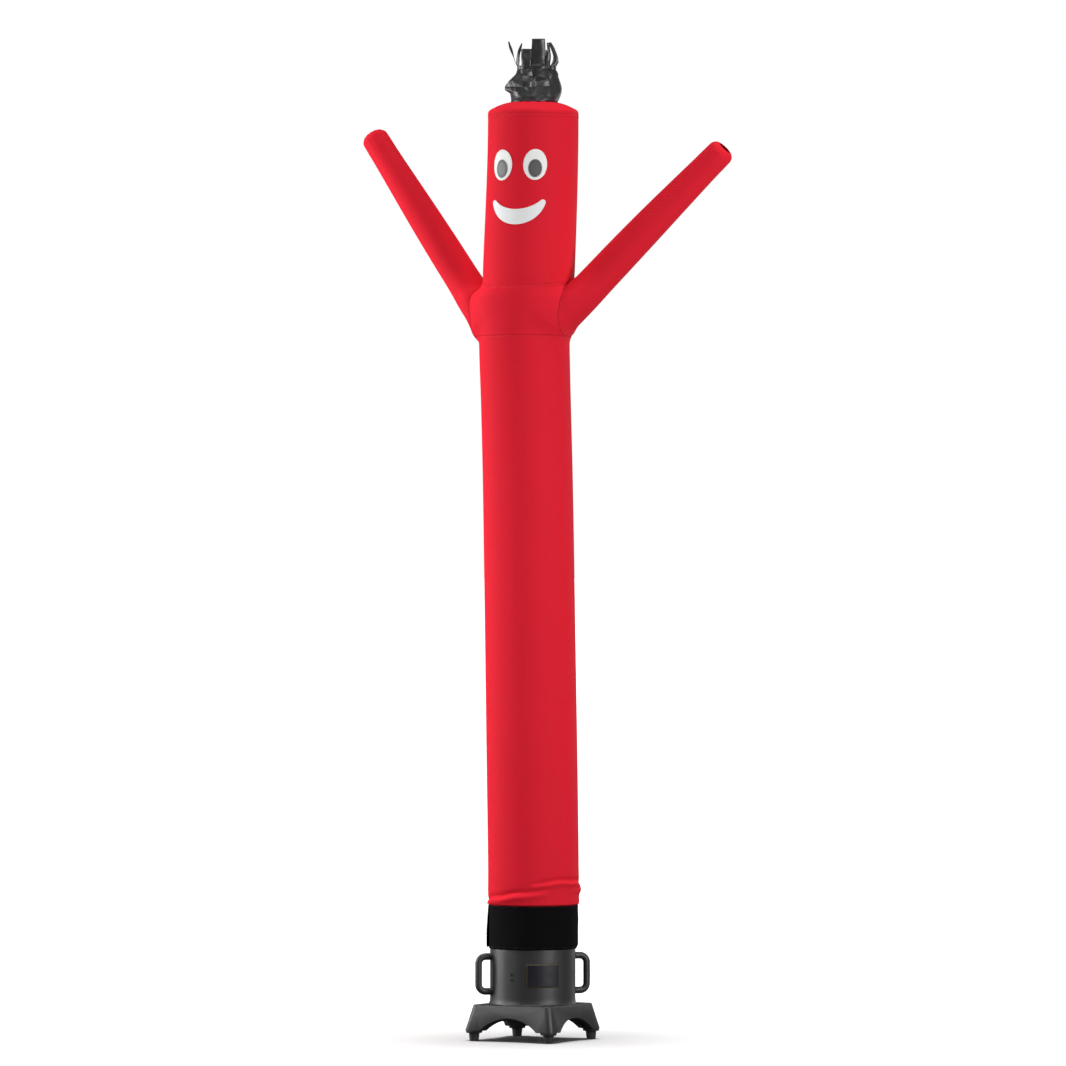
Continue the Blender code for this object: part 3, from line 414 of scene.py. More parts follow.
def grid_mesh(name, points, wrap, keep=None):
    """A sheet through a grid of points, with a UV map in metres along the cloth."""
    rows, columns = points.shape[:2]
    faces = grid_faces(rows, columns, wrap, keep)
    mesh = bpy.data.meshes.new(name)
    mesh.from_pydata(points.reshape(-1, 3).tolist(), [], faces.tolist())
    closed = np.concatenate((points, points[:, :1]), axis=1) if wrap else points
    across = np.linalg.norm(np.diff(closed, axis=1), axis=2).mean(axis=0)
    up = np.linalg.norm(np.diff(points, axis=0), axis=2).mean(axis=1)
    u = np.concatenate(((0.0,), np.cumsum(across)))
    v = np.concatenate(((0.0,), np.cumsum(up)))
    row, column = faces[:, 0] // columns, faces[:, 0] % columns
    corner_u = np.stack((u[column], u[column + 1], u[column + 1], u[column]), axis=1)
    corner_v = np.stack((v[row], v[row], v[row + 1], v[row + 1]), axis=1)
    layer = mesh.uv_layers.new(name="cloth")
    layer.data.foreach_set("uv", np.stack((corner_u, corner_v), axis=-1).ravel())
    return mesh


def add_wall(item, thickness, offset=-1.0):
    """Cloth thickness, inwards by default."""
    wall = item.modifiers.new("thickness", "SOLIDIFY")
    wall.thickness = thickness
    wall.offset = offset
    wall.use_even_offset = False
    wall.use_rim = True
    return wall


def cloth_piece(name, mesh, finish, wall, offset=-1.0, sharp=50.0):
    """An object of cloth with its finish and its thickness."""
    item = link_object(name, mesh)
    shade(mesh, sharp)
    mesh.materials.append(finish)
    add_wall(item, wall, offset)
    return item


def dress(item, slot, *nodes):
    """The piece stands for its nodes, which it hides, and joins the root; the slot is not used."""
    if nodes:
        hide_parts(*nodes)
    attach(item, "root")
    return item


def red_panel(name, mesh, node, lines, rests_on, **sizes):
    """A taut panel of red nylon with its rows of stitches."""
    wall = bpy.context.scene.dancer_cloth.thickness
    item = cloth_piece(name + "_cloth", mesh, finish_of("red_nylon"), wall)
    dress(item, "red_nylon", node)
    sewing = dress(stitch_lines(name + "_stitches", lines, "red_thread"), "red_nylon")


@contextmanager
def edited(mesh):
    """A mesh open to Blender's mesh tools, written back at the end."""
    bm = bmesh.new()
    bm.from_mesh(mesh)
    bm.verts.ensure_lookup_table()
    yield bm
    bm.to_mesh(mesh)
    bm.free()


def lay_map(mesh, across, up):
    """Each corner's place on the flat cloth, in metres."""
    flat = np.stack(np.broadcast_arrays(across, up), axis=-1).reshape(-1, 2)
    corners = np.zeros(len(mesh.loops), int)
    mesh.loops.foreach_get("vertex_index", corners)
    mesh.uv_layers["cloth"].data.foreach_set("uv", flat[corners].ravel())


def sheet_area(points, wrap):
    """Area of a grid of points in square metres."""
    closed = np.concatenate((points, points[:, :1]), axis=1) if wrap else points
    one, two = closed[:-1, :-1], closed[:-1, 1:]
    three, four = closed[1:, 1:], closed[1:, :-1]
    return 0.5 * float(np.linalg.norm(np.cross(three - one, four - two), axis=2).sum())


def settle(item):
    """Turn an object's live result into its plain mesh and drop its modifiers."""
    view = bpy.context.evaluated_depsgraph_get()
    mesh = bpy.data.meshes.new_from_object(item.evaluated_get(view))
    old = item.data
    item.modifiers.clear()
    item.data = mesh
    mesh.name = item.name
    bpy.data.meshes.remove(old)
    if not mesh.polygons:
        raise RuntimeError(item.name + " has no faces")
    return item


def blower_place():
    """The blower's own frame in the world."""
    return Matrix.Translation(Vector(AXIS)) @ Matrix.Rotation(BLOWER_TURN, 4, "Z")


def spun(name, profile, columns, closed=False):
    """A mesh turned on Z from a profile of radius and height, its faces outwards."""
    radius, z = np.array(profile, float).T[..., None]
    points = around(0.0, radius, ring_turns(columns), z)
    if closed:
        points = np.concatenate((points, points[:1]))
    mesh = grid_mesh(name, points, True)
    with edited(mesh) as bm:
        bmesh.ops.remove_doubles(bm, verts=bm.verts, dist=0.00001)
        bmesh.ops.recalc_face_normals(bm, faces=bm.faces)
    return mesh


# ------ finishes: shared effects


def give(tree, node, **inputs):
    """Link sockets to a node's inputs, or set the inputs' own values; _0 is the first input."""
    for name, value in inputs.items():
        socket = node.inputs[int(name[1:]) if name[0] == "_" else name.replace("_", " ")]
        if isinstance(value, bpy.types.NodeSocket):
            tree.links.new(value, socket)
        elif isinstance(value, tuple) and socket.type == "RGBA" and len(value) == 3:
            socket.default_value = (*value, 1.0)
        else:
            socket.default_value = value
    return node


def add_node(tree, kind, settings=None, **inputs):
    """A node with its settings, and its inputs given as values or linked sockets."""
    node = tree.nodes.new(kind)
    for name, value in (settings or {}).items():
        setattr(node, name, value)
    return give(tree, node, **inputs)


def calculate(tree, operation, first, second=0.0, third=None):
    """One step of arithmetic."""
    inputs = {"_0": first, "_1": second}
    if third is not None:
        inputs["_2"] = third
    return add_node(tree, "ShaderNodeMath", {"operation": operation}, **inputs).outputs[0]


def rescale(tree, value, low, high, to_low=0.0, to_high=1.0, soft=True):
    """A value moved from one range to another, with soft ends."""
    settings = {"interpolation_type": "SMOOTHSTEP" if soft else "LINEAR"}
    sizes = {"_0": value, "_1": low, "_2": high, "_3": to_low, "_4": to_high}
    return add_node(tree, "ShaderNodeMapRange", settings, **sizes).outputs[0]


def blend_colours(tree, share, first, second):
    """Two colours mixed by a share."""
    settings = {"data_type": "RGBA", "blend_type": "MIX"}
    return add_node(tree, "ShaderNodeMix", settings, _0=share, _6=first, _7=second).outputs[2]


def noise_at(tree, place, scale, detail=2.0, roughness=0.5):
    """Soft noise from 0 to 1 at a place."""
    sizes = {"Vector": place, "Scale": scale, "Detail": detail, "Roughness": roughness}
    return add_node(tree, "ShaderNodeTexNoise", **sizes).outputs[0]


def stretched(tree, place, size):
    """A place scaled along its axes."""
    return add_node(tree, "ShaderNodeMapping", Vector=place, Scale=size).outputs[0]


def start_group(name, inputs, outputs, kind_of_tree="ShaderNodeTree"):
    """An empty node group with named sockets; returns it with its inputs and its end."""
    group = bpy.data.node_groups.new(name, kind_of_tree)
    for label, (kind, value) in inputs.items():
        socket = group.interface.new_socket(label, in_out="INPUT", socket_type=kind)
        if value is not None:
            socket.default_value = value
    for label, kind in outputs.items():
        group.interface.new_socket(label, in_out="OUTPUT", socket_type=kind)
    return group, group.nodes.new("NodeGroupInput").outputs, group.nodes.new("NodeGroupOutput")


FLOAT, VECTOR, COLOUR = "NodeSocketFloat", "NodeSocketVector", "NodeSocketColor"
MATERIAL = "NodeSocketMaterial"


def ripstop_weave():
    """Fine plain weave crossed by the thicker threads of a square grid."""
    tree, given, made = start_group(
        "ripstop weave",
        {"Place": (VECTOR, None), "Thread": (FLOAT, 0.0008), "Grid": (FLOAT, 0.005)},
        {"Height": FLOAT, "Grid Mask": FLOAT},
    )
    axes = add_node(tree, "ShaderNodeSeparateXYZ", Vector=given["Place"])
    turn = calculate(tree, "DIVIDE", 2.0 * math.pi, given["Thread"])
    waves, lines = [], []
    for axis in range(2):
        phase = calculate(tree, "MULTIPLY", axes.outputs[axis], turn)
        waves.append(calculate(tree, "SINE", phase))
        cell = calculate(tree, "DIVIDE", axes.outputs[axis], given["Grid"])
        lines.append(rescale(tree, calculate(tree, "PINGPONG", cell, 0.5), 0.1, 0.05))
    weave = calculate(tree, "MULTIPLY", *waves)
    grid = calculate(tree, "MAXIMUM", *lines)
    give(tree, made, Height=calculate(tree, "MULTIPLY_ADD", weave, 0.35, grid), Grid_Mask=grid)
    return tree


def coarse_weave():
    """Over and under threads of a heavier cloth or webbing."""
    tree, given, made = start_group(
        "coarse weave",
        {"Place": (VECTOR, None), "Thread": (FLOAT, 0.0016)},
        {"Height": FLOAT, "Gap Mask": FLOAT},
    )
    axes = add_node(tree, "ShaderNodeSeparateXYZ", Vector=given["Place"])
    turn = calculate(tree, "DIVIDE", math.pi, given["Thread"])
    phases = [calculate(tree, "MULTIPLY", axes.outputs[i], turn) for i in range(2)]
    sines = [calculate(tree, "SINE", phase) for phase in phases]
    rounds = [calculate(tree, "ABSOLUTE", sine) for sine in sines]
    over = calculate(tree, "SIGN", calculate(tree, "MULTIPLY", *sines))
    pick = calculate(tree, "MULTIPLY_ADD", over, 0.5, 0.5)
    one = calculate(tree, "MULTIPLY", rounds[0], pick)
    two = calculate(tree, "MULTIPLY", rounds[1], calculate(tree, "SUBTRACT", 1.0, pick))
    height = calculate(tree, "ADD", one, two)
    give(tree, made, Height=height, Gap_Mask=rescale(tree, height, 0.45, 0.1))
    return tree


def soft_creases():
    """Faint crumples of thin cloth: long shallow ridges over softer hollows."""
    tree, given, made = start_group(
        "soft creases",
        {"Place": (VECTOR, None), "Size": (FLOAT, 9.0), "Sharpness": (FLOAT, 0.5)},
        {"Height": FLOAT, "Ridge Mask": FLOAT},
    )
    place, size = given["Place"], given["Size"]
    ridges = []
    for stretch in ((1.0, 0.45, 1.0), (0.5, 1.3, 1.0)):
        field = noise_at(tree, stretched(tree, place, stretch), size, 3.0, 0.55)
        off = calculate(tree, "ABSOLUTE", calculate(tree, "MULTIPLY_ADD", field, 2.0, -1.0))
        ridges.append(rescale(tree, off, 0.22, 0.0))
    ridge = calculate(tree, "MAXIMUM", *ridges)
    broad = noise_at(tree, place, calculate(tree, "MULTIPLY", size, 0.4))
    sharp = calculate(tree, "MULTIPLY", ridge, given["Sharpness"])
    give(tree, made, Height=calculate(tree, "ADD", broad, sharp), Ridge_Mask=ridge)
    return tree


def colour_drift():
    """Slight differences of dye, light and dust over a surface."""
    tree, given, made = start_group(
        "colour drift",
        {
            "Colour": (COLOUR, (0.5, 0.5, 0.5, 1.0)),
            "Place": (VECTOR, None),
            "Size": (FLOAT, 3.0),
            "Amount": (FLOAT, 0.1),
        },
        {"Colour": COLOUR, "Mask": FLOAT},
    )
    place, size = given["Place"], given["Size"]
    broad = noise_at(tree, place, size, 3.0)
    fine = noise_at(tree, place, calculate(tree, "MULTIPLY", size, 9.0))
    both = calculate(tree, "MULTIPLY_ADD", fine, 0.35, calculate(tree, "MULTIPLY", broad, 0.65))
    swing = calculate(tree, "MULTIPLY_ADD", both, 2.0, -1.0)
    gain = calculate(tree, "MULTIPLY_ADD", swing, given["Amount"], 1.0)
    scale = {"operation": "SCALE"}
    scaled = add_node(tree, "ShaderNodeVectorMath", scale, _0=given["Colour"], Scale=gain)
    give(tree, made, Colour=scaled.outputs[0], Mask=both)
    return tree


def moulded_grain():
    """The spark-eroded grain of moulded plastic and rubber, with faint flow marks."""
    tree, given, made = start_group(
        "moulded grain",
        {"Place": (VECTOR, None), "Size": (FLOAT, 900.0)},
        {"Height": FLOAT, "Flow Mask": FLOAT},
    )
    place, size = given["Place"], given["Size"]
    fine = noise_at(tree, place, size, 2.0, 0.6)
    wider = calculate(tree, "MULTIPLY", size, 0.55)
    smooth = {"feature": "SMOOTH_F1"}
    pits = add_node(tree, "ShaderNodeTexVoronoi", smooth, Vector=place, Scale=wider)
    height = calculate(tree, "MULTIPLY_ADD", pits.outputs["Distance"], 0.6, fine)
    flow = noise_at(tree, stretched(tree, place, (1.0, 1.0, 0.25)), 16.0, 3.0)
    give(tree, made, Height=height, Flow_Mask=rescale(tree, flow, 0.42, 0.66))
    return tree


def scuffs():
    """Thin scratches and rubbed patches from handling."""
    tree, given, made = start_group(
        "scuffs",
        {"Place": (VECTOR, None), "Size": (FLOAT, 30.0)},
        {"Scratch Mask": FLOAT, "Rub Mask": FLOAT},
    )
    place, size = given["Place"], given["Size"]
    long_place = stretched(tree, place, (1.0, 1.0, 0.12))
    field = noise_at(tree, long_place, calculate(tree, "MULTIPLY", size, 3.0), 4.0, 0.6)
    off = calculate(tree, "ABSOLUTE", calculate(tree, "SUBTRACT", field, 0.52))
    thin = rescale(tree, off, 0.006, 0.001)
    patch = rescale(tree, noise_at(tree, place, size), 0.55, 0.72)
    give(tree, made, Scratch_Mask=calculate(tree, "MULTIPLY", thin, patch), Rub_Mask=patch)
    return tree


EFFECTS = {
    "ripstop": ripstop_weave,
    "webbing": coarse_weave,
    "creases": soft_creases,
    "drift": colour_drift,
    "grain": moulded_grain,
    "scuffs": scuffs,
}
made_effects = {}


def effect(tree, name, **inputs):
    """A shared effect placed in a material with its own values."""
    if name not in made_effects:
        made_effects[name] = EFFECTS[name]()
    return add_node(tree, "ShaderNodeGroup", {"node_tree": made_effects[name]}, **inputs).outputs


# ------ finishes: materials


def start_material(name, colour, drift_size, drift_amount):
    """A material, its tree, its place in metres and its slightly drifting colour and mask."""
    material = bpy.data.materials.new(name)
    material.use_nodes = True
    material.diffuse_color = (*colour, 1.0)
    tree = material.node_tree
    world = add_node(tree, "ShaderNodeTexCoord").outputs["Object"]
    drift = {"Colour": colour, "Place": world, "Size": drift_size, "Amount": drift_amount}
    return material, tree, world, effect(tree, "drift", **drift)


def end_material(material, layers, **inputs):
    """Fill the shader's inputs and stack its bumps: height, depth in metres and strength."""
    tree = material.node_tree
    for height, depth, strength in layers:
        sizes = {"Height": height, "Distance": depth, "Strength": strength}
        if "Normal" in inputs:
            sizes["Normal"] = inputs["Normal"]
        inputs["Normal"] = add_node(tree, "ShaderNodeBump", **sizes).outputs[0]
    give(tree, tree.nodes["Principled BSDF"], **inputs)
    return material


def map_of(tree):
    """The piece's own map, in metres along the cloth."""
    return add_node(tree, "ShaderNodeUVMap", {"uv_map": "cloth"}).outputs[0]


def brighter(colour, gain, lift=0.0):
    """A colour scaled and raised."""
    return tuple(min(1.0, part * gain + lift) for part in colour)


def nylon(name, colour, shine, gloss, crease):
    """Thin coated nylon: ripstop grid, faint crumples and drifting dye."""
    material, tree, world, dyed = start_material(name, colour, 3.0, 0.07)
    weave = effect(tree, "ripstop", Place=map_of(tree), Thread=0.0008, Grid=0.005)
    folds = effect(tree, "creases", Place=world, Size=11.0, Sharpness=0.35)
    share = calculate(tree, "MULTIPLY", weave["Grid Mask"], 0.22)
    return end_material(
        material,
        ((folds["Height"], 0.003, crease), (weave["Height"], 0.0002, 0.2)),
        Base_Color=blend_colours(tree, share, dyed["Colour"], brighter(colour, 0.9)),
        Roughness=rescale(tree, folds["Ridge Mask"], 0.0, 1.0, shine, shine - 0.06, soft=False),
        Specular_IOR_Level=gloss,
    )


def face_cloth(name, colour, shine):
    """The plain cloth of the eyes and the mouth."""
    material, tree, _, dyed = start_material(name, colour, 24.0, 0.05)
    weave = effect(tree, "webbing", Place=map_of(tree), Thread=0.0007)
    share = calculate(tree, "MULTIPLY", weave["Gap Mask"], 0.15)
    return end_material(
        material,
        ((weave["Height"], 0.0002, 0.25),),
        Base_Color=blend_colours(tree, share, dyed["Colour"], brighter(colour, 0.75)),
        Roughness=rescale(tree, dyed["Mask"], 0.2, 0.8, shine - 0.05, shine + 0.08),
        Sheen_Weight=0.1,
    )


def pupil_cloth(name, colour, rim):
    """Grey cloth that darkens towards the pupil's edge."""
    material, tree, _, dyed = start_material(name, colour, 40.0, 0.1)
    weave = effect(tree, "webbing", Place=map_of(tree), Thread=0.0007)
    inner = add_node(tree, "ShaderNodeAttribute", {"attribute_name": "from_edge"})
    share = rescale(tree, inner.outputs["Fac"], 0.45, 0.0)
    return end_material(
        material,
        ((weave["Height"], 0.0002, 0.2),),
        Base_Color=blend_colours(tree, share, dyed["Colour"], rim),
        Roughness=rescale(tree, dyed["Mask"], 0.2, 0.8, 0.52, 0.64),
    )


def strap_cloth(name, colour):
    """The black loop fabric of the collar: matt, napped and heavy."""
    material, tree, _, dyed = start_material(name, colour, 14.0, 0.3)
    place = map_of(tree)
    weave = effect(tree, "webbing", Place=place, Thread=0.0022)
    nap = noise_at(tree, stretched(tree, place, (1.0, 2.5, 1.0)), 900.0, 2.0, 0.7)
    dust = calculate(tree, "MULTIPLY", rescale(tree, nap, 0.55, 0.8), 0.35)
    return end_material(
        material,
        ((weave["Height"], 0.0005, 0.3), (nap, 0.0004, 0.35)),
        Base_Color=blend_colours(tree, dust, dyed["Colour"], brighter(colour, 2.2, 0.004)),
        Roughness=rescale(tree, nap, 0.2, 0.8, 0.86, 0.98),
        Specular_IOR_Level=0.06,
    )


def thread(name, colour):
    """Twisted sewing thread."""
    material, tree, world, dyed = start_material(name, colour, 60.0, 0.12)
    twist = noise_at(tree, world, 1400.0, 1.0)
    return end_material(
        material,
        ((twist, 0.0003, 0.4),),
        Base_Color=dyed["Colour"],
        Roughness=rescale(tree, twist, 0.3, 0.7, 0.48, 0.66),
        Sheen_Weight=0.15,
    )


def moulded(name, colour, shine, grain, scuffed):
    """Moulded plastic or rubber with its grain, flow marks and handling wear."""
    material, tree, world, dyed = start_material(name, colour, 7.0, 0.12)
    skin_grain = effect(tree, "grain", Place=world, Size=grain)
    worn = effect(tree, "scuffs", Place=world, Size=26.0)
    pale = brighter(colour, 1.7, 0.012)
    flow = calculate(tree, "MULTIPLY", skin_grain["Flow Mask"], 0.16 * scuffed)
    flowed = blend_colours(tree, flow, dyed["Colour"], pale)
    scratch = calculate(tree, "MULTIPLY", worn["Scratch Mask"], 0.45 * scuffed)
    rubbed = calculate(tree, "MULTIPLY", worn["Rub Mask"], -0.07)
    grained = calculate(tree, "MULTIPLY_ADD", skin_grain["Height"], 0.08, shine - 0.05)
    return end_material(
        material,
        ((skin_grain["Height"], 0.0003, 0.3),),
        Base_Color=blend_colours(tree, scratch, flowed, pale),
        Roughness=calculate(tree, "ADD", grained, rubbed),
    )


def plate_film(name, colour, border, *half_sizes):
    """A printed plate: a bare dark field inside a thin plain border line."""
    material, tree, world, dyed = start_material(name, colour, 30.0, 0.15)
    axes = add_node(tree, "ShaderNodeSeparateXYZ", Vector=map_of(tree))
    offs = [calculate(tree, "ABSOLUTE", axes.outputs[axis]) for axis in range(2)]
    sides = [calculate(tree, "SUBTRACT", half, off) for half, off in zip(half_sizes, offs)]
    edge = calculate(tree, "MINIMUM", *sides)
    inside = rescale(tree, edge, 0.0016, 0.002, soft=False)
    outside = rescale(tree, edge, 0.0036, 0.0032, soft=False)
    line = calculate(tree, "MULTIPLY", inside, outside)
    worn = effect(tree, "scuffs", Place=world, Size=50.0)
    printed = blend_colours(tree, line, dyed["Colour"], border)
    scratch = calculate(tree, "MULTIPLY", worn["Scratch Mask"], 0.5)
    return end_material(
        material,
        ((line, 0.0001, 0.4),),
        Base_Color=blend_colours(tree, scratch, printed, brighter(colour, 2.0, 0.02)),
        Roughness=rescale(tree, worn["Rub Mask"], 0.0, 1.0, 0.46, 0.54, soft=False),
        Specular_IOR_Level=0.3,
    )


def blackened_steel(name, colour):
    """Dark zinc-plated steel with faint turning marks."""
    material, tree, world, dyed = start_material(name, colour, 120.0, 0.25)
    marks = noise_at(tree, stretched(tree, world, (1.0, 1.0, 6.0)), 900.0)
    return end_material(
        material,
        ((marks, 0.0001, 0.3),),
        Base_Color=dyed["Colour"],
        Roughness=rescale(tree, marks, 0.3, 0.7, 0.3, 0.48),
        Metallic=0.9,
    )


def studio_floor(name, seen_colour, light_colour, far_glow):
    """A pale matt floor: white to the camera, greyer in the light that it throws back."""
    material, tree, world, dyed = start_material(name, seen_colour, 0.8, 0.01)
    seen = add_node(tree, "ShaderNodeLightPath").outputs["Is Camera Ray"]
    away = add_node(tree, "ShaderNodeVectorMath", {"operation": "LENGTH"}, _0=world).outputs[1]
    glow = calculate(tree, "MULTIPLY", rescale(tree, away, *FLOOR_FADE, 0.0, far_glow), seen)
    white = add_node(tree, "ShaderNodeCombineColor", _0=glow, _1=glow, _2=glow).outputs[0]
    return end_material(
        material,
        ((noise_at(tree, world, 300.0), 0.0002, 0.1),),
        Base_Color=blend_colours(tree, seen, light_colour, dyed["Colour"]),
        Roughness=0.9,
        Specular_IOR_Level=0.05,
        Emission_Color=white,
        Emission_Strength=1.0,
    )


# ------ finishes: this object's own


made_finishes = {}  # by name, so that a finish is made once


def finish_of(name):
    """The named finish, made the first time it is asked for."""
    if name not in made_finishes:
        colours = bpy.context.scene.dancer_colours
        maker, colour, *values = FINISHES[name]
        values = [tuple(getattr(colours, v)) if isinstance(v, str) else v for v in values]
        made_finishes[name] = maker(name, tuple(getattr(colours, colour)), *values)
    return made_finishes[name]


# The kind of finish, the setting with its colour, and its other values for each name.
FINISHES = {
    "red_nylon": (nylon, "tube", 0.62, 0.015, 0.1),
    "black_nylon": (nylon, "hair", 0.38, 0.6, 0.3),
    "white_cloth": (face_cloth, "eyes", 0.62),
    "mouth_cloth": (face_cloth, "mouth", 0.62),
    "grey_cloth": (pupil_cloth, "pupils", "pupil_rims"),
    # The pupils' grey cloth, made darker for the right pupil: painted shade.
    "dark_grey_cloth": (pupil_cloth, "dark_pupils", "pupil_rims"),
    "collar_fabric": (strap_cloth, "collar"),
    "red_thread": (thread, "tube_thread"),
    "black_thread": (thread, "dark_thread"),
    "white_thread": (thread, "pale_thread"),
    "shell_plastic": (moulded, "shell", 0.46, 900.0, 1.0),
    "foot_rubber": (moulded, "rubber", 0.72, 1400.0, 0.6),
    "label_film": (plate_film, "plate", "plate_border", LABEL[1] * DUCT_RADIUS, LABEL[3]),
    "screw_steel": (blackened_steel, "screws"),
}


# ------ node trees that repeat shapes


def geometry_tree(name, **inputs):
    """A geometry node tree; returns it with its input sockets and its end."""
    shape = {"Geometry": "NodeSocketGeometry"}
    kinds = {label.replace("_", " "): (kind, None) for label, kind in (shape | inputs).items()}
    return start_group(name, kinds, shape, "GeometryNodeTree")


def finish_tree(tree, made, geometry, finish):
    """Real geometry with its material, sent to the output."""
    real = add_node(tree, "GeometryNodeRealizeInstances", _0=geometry)
    painted = add_node(tree, "GeometryNodeSetMaterial", Geometry=real.outputs[0], Material=finish)
    tree.links.new(painted.outputs[0], made.inputs[0])


def stitch_tree():
    """Short rounded stitches laid end to end along lines of edges."""
    sizes = {"Stitch_Length": FLOAT, "Gap": FLOAT, "Thread_Radius": FLOAT}
    tree, given, made = geometry_tree("stitches along a seam", **sizes, Thread=MATERIAL)
    length, gap, radius = (given[i] for i in ("Stitch Length", "Gap", "Thread Radius"))
    line = add_node(tree, "GeometryNodeMeshToCurve", _0=given["Geometry"]).outputs[0]
    step = {"Curve": line, "Length": calculate(tree, "ADD", length, gap)}
    steps = add_node(tree, "GeometryNodeResampleCurve", {"mode": "LENGTH"}, **step)
    bead = add_node(tree, "GeometryNodeMeshUVSphere", Segments=6, Rings=4, Radius=1.0)
    half = calculate(tree, "MULTIPLY", length, 0.5)
    size = add_node(tree, "ShaderNodeCombineXYZ", X=radius, Y=radius, Z=half)
    along = add_node(tree, "GeometryNodeInputTangent").outputs[0]
    turn = add_node(tree, "FunctionNodeAlignRotationToVector", {"axis": "Z"}, Vector=along)
    laid = add_node(
        tree,
        "GeometryNodeInstanceOnPoints",
        Points=steps.outputs[0],
        Instance=bead.outputs[0],
        Rotation=turn.outputs[0],
        Scale=size.outputs[0],
    )
    smooth = add_node(tree, "GeometryNodeSetShadeSmooth", Geometry=laid.outputs[0])
    finish_tree(tree, made, smooth.outputs[0], given["Thread"])
    return tree


def repeat_tree():
    """A copy of one shape on each point."""
    kinds = {"Shape": "NodeSocketObject", "Finish": MATERIAL}
    tree, given, made = geometry_tree("copies on points", **kinds)
    shape = add_node(tree, "GeometryNodeObjectInfo", Object=given["Shape"])
    places = {"Points": given["Geometry"], "Instance": shape.outputs["Geometry"]}
    laid = add_node(tree, "GeometryNodeInstanceOnPoints", **places)
    finish_tree(tree, made, laid.outputs[0], given["Finish"])
    return tree


TREES = {"stitches along a seam": stitch_tree, "copies on points": repeat_tree}


def run_tree(item, name, values):
    """Give an object a node tree with its inputs, and keep the result as a plain mesh."""
    tree = bpy.data.node_groups.get(name) or TREES[name]()
    layer = item.modifiers.new(name, "NODES")
    layer.node_group = tree
    sockets = {s.name: s.identifier for s in tree.interface.items_tree if s.in_out == "INPUT"}
    for label, value in values.items():
        layer[sockets[label]] = value
    return settle(item)


def stitch_lines(name, lines, finish, length=None):
    """Rows of stitches along closed or open lines of points."""
    sewing = bpy.context.scene.dancer_sewing
    verts, edges = [], []
    for line, closed in lines:
        first = len(verts)
        verts += [tuple(point) for point in line]
        edges += [(first + i, first + i + 1) for i in range(len(line) - 1)]
        if closed:
            edges.append((first + len(line) - 1, first))
    mesh = bpy.data.meshes.new(name)
    mesh.from_pydata(verts, edges, [])
    values = {
        "Stitch Length": length or sewing.stitch_length,
        "Gap": sewing.stitch_gap,
        "Thread Radius": sewing.thread_radius,
        "Thread": finish_of(finish),
    }
    return run_tree(link_object(name, mesh), "stitches along a seam", values)


def copies_on(name, shape, places, finish):
    """One mesh with a copy of a shape at each place."""
    mesh = bpy.data.meshes.new(name)
    mesh.from_pydata([tuple(place) for place in places], [], [])
    pattern = link_object(name + "_pattern", shape)
    values = {"Shape": pattern, "Finish": finish_of(finish)}
    item = run_tree(link_object(name, mesh), "copies on points", values)
    bpy.data.objects.remove(pattern, do_unlink=True)
    return item


# ------ settings


def length_property(label, meaning, value, least=0.0):
    """A length setting."""
    return FloatProperty(
        name=label,
        description=meaning,
        default=value,
        min=least,
        subtype="DISTANCE",
        unit="LENGTH",
    )


def colour_property(label, meaning, value):
    """A colour setting."""
    return FloatVectorProperty(
        name=label, description=meaning, default=value, size=3, min=0.0, max=1.0, subtype="COLOR"
    )


class DancerCloth(bpy.types.PropertyGroup):
    """Sizes of the cloth."""

    thickness: length_property("Cloth Thickness", "Thickness of the nylon", 0.0015, 0.0005)
    face_thickness: length_property(
        "Face Cloth Thickness", "Thickness of the eyes, pupils and mouth", 0.001, 0.0003
    )
    collar_thickness: length_property(
        "Collar Thickness", "Thickness of the collar's band", 0.0018, 0.0005
    )
    columns: IntProperty(
        name="Columns", description="Faces round the tube", default=180, min=36, max=240
    )
    gather_depth: length_property("Gather Depth", "How deep a seam's puckers are", 0.0006)
    band_width: length_property("Seam Width", "Width of a felled seam", 0.0104, 0.004)
    band_proud: length_property("Seam Height", "How far a felled seam stands out", 0.0003)


class DancerSewing(bpy.types.PropertyGroup):
    """Sizes of the stitching."""

    stitch_length: length_property("Stitch Length", "Length of one stitch", 0.0034, 0.001)
    stitch_gap: length_property("Stitch Gap", "Gap between stitches", 0.0011, 0.0002)
    thread_radius: length_property("Thread Radius", "Radius of the sewing thread", 0.00032, 0.0001)


